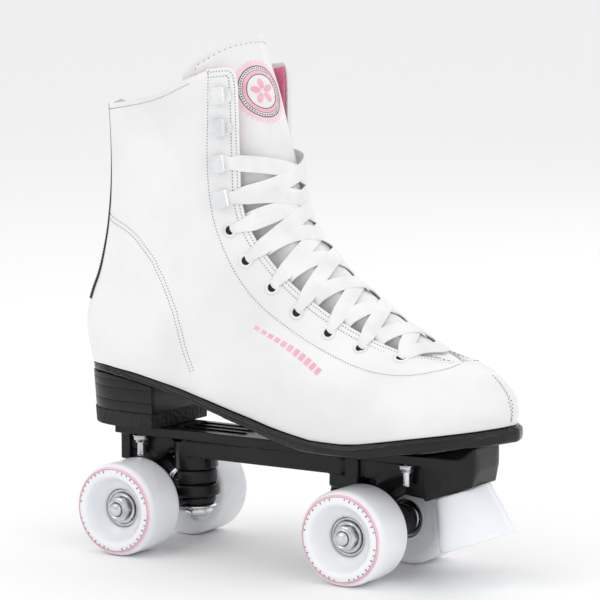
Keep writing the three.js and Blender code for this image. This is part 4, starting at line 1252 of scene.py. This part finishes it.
# --- Trucks --------------------------------------------------------------------------------------
# Each truck is a black-coated casting whose ring rocks on a kingpin between two rubber
# cushions, and whose pivot pin turns in a rubber cup in the plate. A steel axle runs across.
AXLE_X = {"rear": -92.0, "front": 61.0}
OUTBOARD = {"rear": -1, "front": 1}
AXLE_Z, AXLE_HALF, AXLE_RADIUS = 27.0, 50.1, 4.0
RING_INBOARD, RING_Z, LEAN = 24.4, 34.0, math.radians(4)
PIVOT_OUTBOARD, PIVOT_Z = 8.0, 54.9
KINGPIN_RADIUS, KINGPIN_TOP, KINGPIN_END, KINGPIN_PLAIN = 4.5, 27, 18.4, 33.0
KINGPIN_NUT_AT, LOCK_NUT_AT = 10.4, 24.4    # from the ring down, and from the pivot's middle in
# half sections along the kingpin, up from the middle of the ring: radius, height
RING_SECTION = [(7.4, -3.5), (12.4, -3.5), (13.0, -2.2), (13.0, 2.2), (12.4, 3.5), (7.4, 3.5)]
UPPER_SECTION = [(5.0, 3.9), (10.6, 3.9), (11.5, 4.6), (11.7, 6.3), (11.75, 8.0), (11.7, 9.7),
                 (11.5, 11.4), (10.6, 12.1), (5.0, 12.1), (5.0, 9.4), (5.0, 6.6)]
LOWER_SECTION = [(5.0, -8.2), (8.6, -8.2), (9.7, -7.7), (10.2, -6.0), (9.9, -4.4), (9.2, -3.9),
                 (5.0, -3.9), (5.0, -6.0)]
WASHER_SECTION = [(5.0, -9.3), (8.0, -9.6), (10.8, -10.1), (10.8, -9.3), (8.4, -8.5), (5.0, -8.4)]
# half sections along the pivot, out from its middle, and along the axle, out from its middle
CUP_SECTION = [(0.001, 5.7), (7.2, 5.7), (7.5, 5.4), (7.5, -6.0), (7.9, -6.3), (7.9, -7.0),
               (7.4, -7.4), (5.2, -7.4), (4.9, -7.0), (4.9, 4.4), (0.001, 4.4)]
BARREL_SECTION = [(4.3, 14.0), (9.4, 14.0), (9.4, 17.6), (8.9, 18.3), (4.3, 18.3)]
TRUCK_COAT = surface_finish("truck_nylon", (0.004, 0.004, 0.004), (0.009, 0.009, 0.010), (0.24, 0.38),
                            1500, 45, 0.12, Specular_IOR_Level=0.28)
CUSHION_RUBBER = surface_finish("cushion_rubber", (0.006, 0.006, 0.006), (0.014, 0.014, 0.015), (0.40, 0.55),
                                1100, 60, 0.2, Specular_IOR_Level=0.3)
for end, axle_x in AXLE_X.items():
    out = OUTBOARD[end]
    body = end + "_steering"
    ring = Vector((axle_x - out * RING_INBOARD, 0, RING_Z))
    pivot = Vector((axle_x + out * PIVOT_OUTBOARD, 0, PIVOT_Z))
    steer = (pivot - ring).normalized()
    kingpin_axis = Vector((out * math.sin(LEAN), 0, math.cos(LEAN)))
    on_kingpin = along_axis(ring, kingpin_axis)

    hanger, axle = cad_copy(end + "_truck"), bmesh.new()
    set_in(hanger, lathe(RING_SECTION, 40, closed=True), on_kingpin)
    for name, side in SIDES:
        across = along_axis((axle_x, 0, AXLE_Z), (0, side, 0))
        set_in(hanger, lathe(BARREL_SECTION, 40, closed=True), across)
        set_in(axle, threaded(AXLE_RADIUS, 0, AXLE_HALF, 1.0, 41.0, 1.1), across)
    truck = moulded(hanger, end + "_hanger", 0.55, 3)
    finished(truck, TRUCK_COAT, body)
    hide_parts(end + "_truck")

    # each cushion lies on the kingpin between the ring and the plate or the washer; the values are its part,
    # its section, and the heights of its face against the plate or washer and of its face against the ring
    for part, section, fixed_face, ring_face in (("upper", UPPER_SECTION, 12.1, 3.9),
                                                 ("lower", LOWER_SECTION, -8.2, -3.9)):
        cushion = placed(lathe(section, 48, closed=True), on_kingpin, end + "_" + part + "_rubber",
                         CUSHION_RUBBER, None, "black_rubber", end + "_" + part + "_cushion")
        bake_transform(cushion)
    placed(lathe(WASHER_SECTION, 48, closed=True), on_kingpin, end + "_cup_washer", ZINC, "skate_body",
           "zinc_steel", end + "_cushion_washer")
    placed(threaded(KINGPIN_RADIUS, -KINGPIN_TOP, KINGPIN_END, 1.1, KINGPIN_PLAIN),
           along_axis(ring, -kingpin_axis), end + "_kingpin_bolt", ZINC, "skate_body", "zinc_steel",
           end + "_kingpin")
    nut_seat = along_axis(ring - kingpin_axis * KINGPIN_NUT_AT, -kingpin_axis)
    placed(nut_shape(14.0, 4.6, 6.4), nut_seat, end + "_kingpin_locknut", ZINC, "skate_body",
           "zinc_steel", end + "_kingpin_nut")

    placed(lathe(CUP_SECTION, 40), along_axis(pivot, steer), end + "_cup_rubber", CUSHION_RUBBER,
           "skate_body", "black_rubber", end + "_pivot_cup")
    lock_seat = along_axis(pivot - steer * LOCK_NUT_AT, steer)
    placed(nut_shape(14.0, 4.4, 4.8), lock_seat, end + "_pivot_locknut", ZINC, body, "zinc_steel")
    axle_piece = finished(link_mesh(axle, end + "_axle_rod"), ZINC, body)
    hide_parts(end + "_axle")


# --- Wheels --------------------------------------------------------------------------------------
# Cast urethane wheels, 54 by 32 mm, milky white. The outer face is a dish with a printed
# pink ring, and the inner face has fine turned ribs. Two ball bearings press in.
WHEEL_Y = 35.5
WHEEL_URETHANE = surface_finish("wheel_urethane", (0.84, 0.855, 0.89), (0.90, 0.91, 0.935),
                                (0.22, 0.34), 350, 14, 0.05, Subsurface_Weight=0.3,
                                Subsurface_Radius=(0.010, 0.012, 0.016),
                                Subsurface_Scale=0.4, Coat_Weight=0.2, Coat_Roughness=0.15)
BEARING_STEEL = surface_finish("bearing_steel", (0.45, 0.46, 0.48), (0.66, 0.67, 0.69), (0.18, 0.30),
                               800, 120, 0.05, Metallic=1.0)
RING_PINK = surface_finish("ring_pink", (0.86, 0.46, 0.56), (0.92, 0.58, 0.66), (0.35, 0.5), 900, 90, 0.05)
RING_PLUM = surface_finish("ring_plum", (0.40, 0.12, 0.18), (0.52, 0.20, 0.27), (0.35, 0.5), 900, 90, 0.05)
RIM, LIP, HALF_WHEEL = 21.5, 5.5, 16.0


def lip(radius):
    """How far outboard the wheel's rounded lip is at a radius."""
    reach = max(radius - RIM, 0)
    return HALF_WHEEL - LIP + math.sqrt(max(LIP ** 2 - reach ** 2, 0))


# half section: radius, and how far outboard of the wheel's middle
wheel_section = [(11.3, -6.7), (11.3, -15.3), (11.8, -HALF_WHEEL)]
for rib in range(8):
    radius = 12.4 + rib * 1.15
    wheel_section += [(radius, -HALF_WHEEL), (radius + 0.25, 0.25 - HALF_WHEEL),
                      (radius + 0.75, 0.25 - HALF_WHEEL), (radius + 1.0, -HALF_WHEEL)]
rolled = [(RIM + LIP * math.sin(turn), HALF_WHEEL - LIP * (1 - math.cos(turn)))
          for turn in (math.radians(90 * step / 8) for step in range(9))]
wheel_section += [(radius, -y) for radius, y in rolled] + rolled[::-1]
wheel_section += [(20.4, 15.9), (19.6, 15.5), (19.0, 14.8), (17.9, 12.8), (16.4, 10.7), (14.8, 9.2),
                  (13.0, 8.2), (12.0, 7.6), (11.5, 7.2), (11.3, 6.8), (11.3, -0.8), (9.3, -0.8), (9.3, -6.7)]
wheel_shape = lathe(wheel_section, 112, closed=True)


def ring_print(inner, outer, raised):
    """A thin printed band on the wheel's lip."""
    radii = [inner + (outer - inner) * k / 4 for k in range(5)]
    return lathe([(radius, lip(radius) + raised) for radius in radii], 160)


# short ticks point in from the thin line, in four groups with gaps of two between them
TICKS, TICK_GROUP, TICK_GAP, TICKS_FROM, TICK_WIDTH = 44, 11, 2, 23.4, 0.26
tick_shape = bmesh.new()
for tick in range(TICKS):
    if tick % TICK_GROUP < TICK_GAP:
        continue
    made = bmesh.ops.create_grid(tick_shape, x_segments=1, y_segments=3, size=0.5)["verts"]
    tall = 1.3 if tick % 2 else 0.8
    for vert in made:
        radius = TICKS_FROM - (0.5 - vert.co.y) * tall
        angle = 2 * math.pi * (tick + vert.co.x * TICK_WIDTH) / TICKS
        vert.co = (radius * math.cos(angle), radius * math.sin(angle), lip(radius) + 0.09)
ticks = shape_of(faced(tick_shape, (0, 0, 1)))

# a shielded bearing, from its inboard face at 0 to its outboard face at 7
bearing_section = [(6.4, 0.2), (7.3, 0.2), (7.4, 0.45), (9.3, 0.45), (9.4, 0.0), (10.6, 0.0), (11.0, 0.4),
                   (11.0, 6.6), (10.6, 7.0), (9.4, 7.0), (9.3, 6.55), (7.4, 6.55), (7.3, 6.8), (6.4, 6.8)]
bearing_shape = lathe(bearing_section, 64, closed=True)
BEARING_OUTER_AT, BEARING_INNER_AT = -0.5, -14.0    # inboard faces, outboard of the wheel's middle
SPACER_FROM, SPACER_TO = 18.6, 42.3
spacer_shape = lathe([(4.3, SPACER_FROM), (5.6, SPACER_FROM), (6.0, SPACER_FROM + 0.4),
                      (6.0, SPACER_TO - 0.4), (5.6, SPACER_TO), (4.3, SPACER_TO)], 40, closed=True)
for end, axle_x in AXLE_X.items():
    for name, side in SIDES:
        prefix = end + "_" + name
        roller, steering = prefix + "_roller", end + "_steering"
        hub = along_axis((axle_x, side * WHEEL_Y, AXLE_Z), (0, side, 0))
        placed(wheel_shape, hub, prefix + "_tyre", WHEEL_URETHANE, roller, "white_urethane",
               prefix + "_wheel")
        band = bmesh.new()
        set_in(band, ring_print(24.2, 25.1, 0.07), hub)
        finished(link_mesh(faced(band, (0, side, 0)), prefix + "_pink_ring"), RING_PINK, roller)
        lines = bmesh.new()
        set_in(lines, ring_print(23.7, 24.0, 0.08), hub)
        set_in(lines, ticks, hub)
        finished(link_mesh(faced(lines, (0, side, 0)), prefix + "_ring_ticks"), RING_PLUM, roller)
        for part, face in (("outer", BEARING_OUTER_AT), ("inner", BEARING_INNER_AT)):
            race = Matrix.Translation((0, side * face * MM, 0)) @ hub
            placed(bearing_shape, race, prefix + "_" + part + "_race", BEARING_STEEL, roller, "bearing_steel",
                   prefix + "_" + part + "_bearing")
        across = along_axis((axle_x, 0, AXLE_Z), (0, side, 0))
        placed(spacer_shape, across, prefix + "_sleeve", ZINC, steering, "zinc_steel", prefix + "_spacer")
        nut_place = along_axis((axle_x, side * (SPACER_TO + FIT), AXLE_Z), (0, side, 0))
        placed(nut_shape(13.0, 4.0, 6.2), nut_place, prefix + "_axle_locknut", ZINC, steering, "zinc_steel",
               prefix + "_axle_nut")
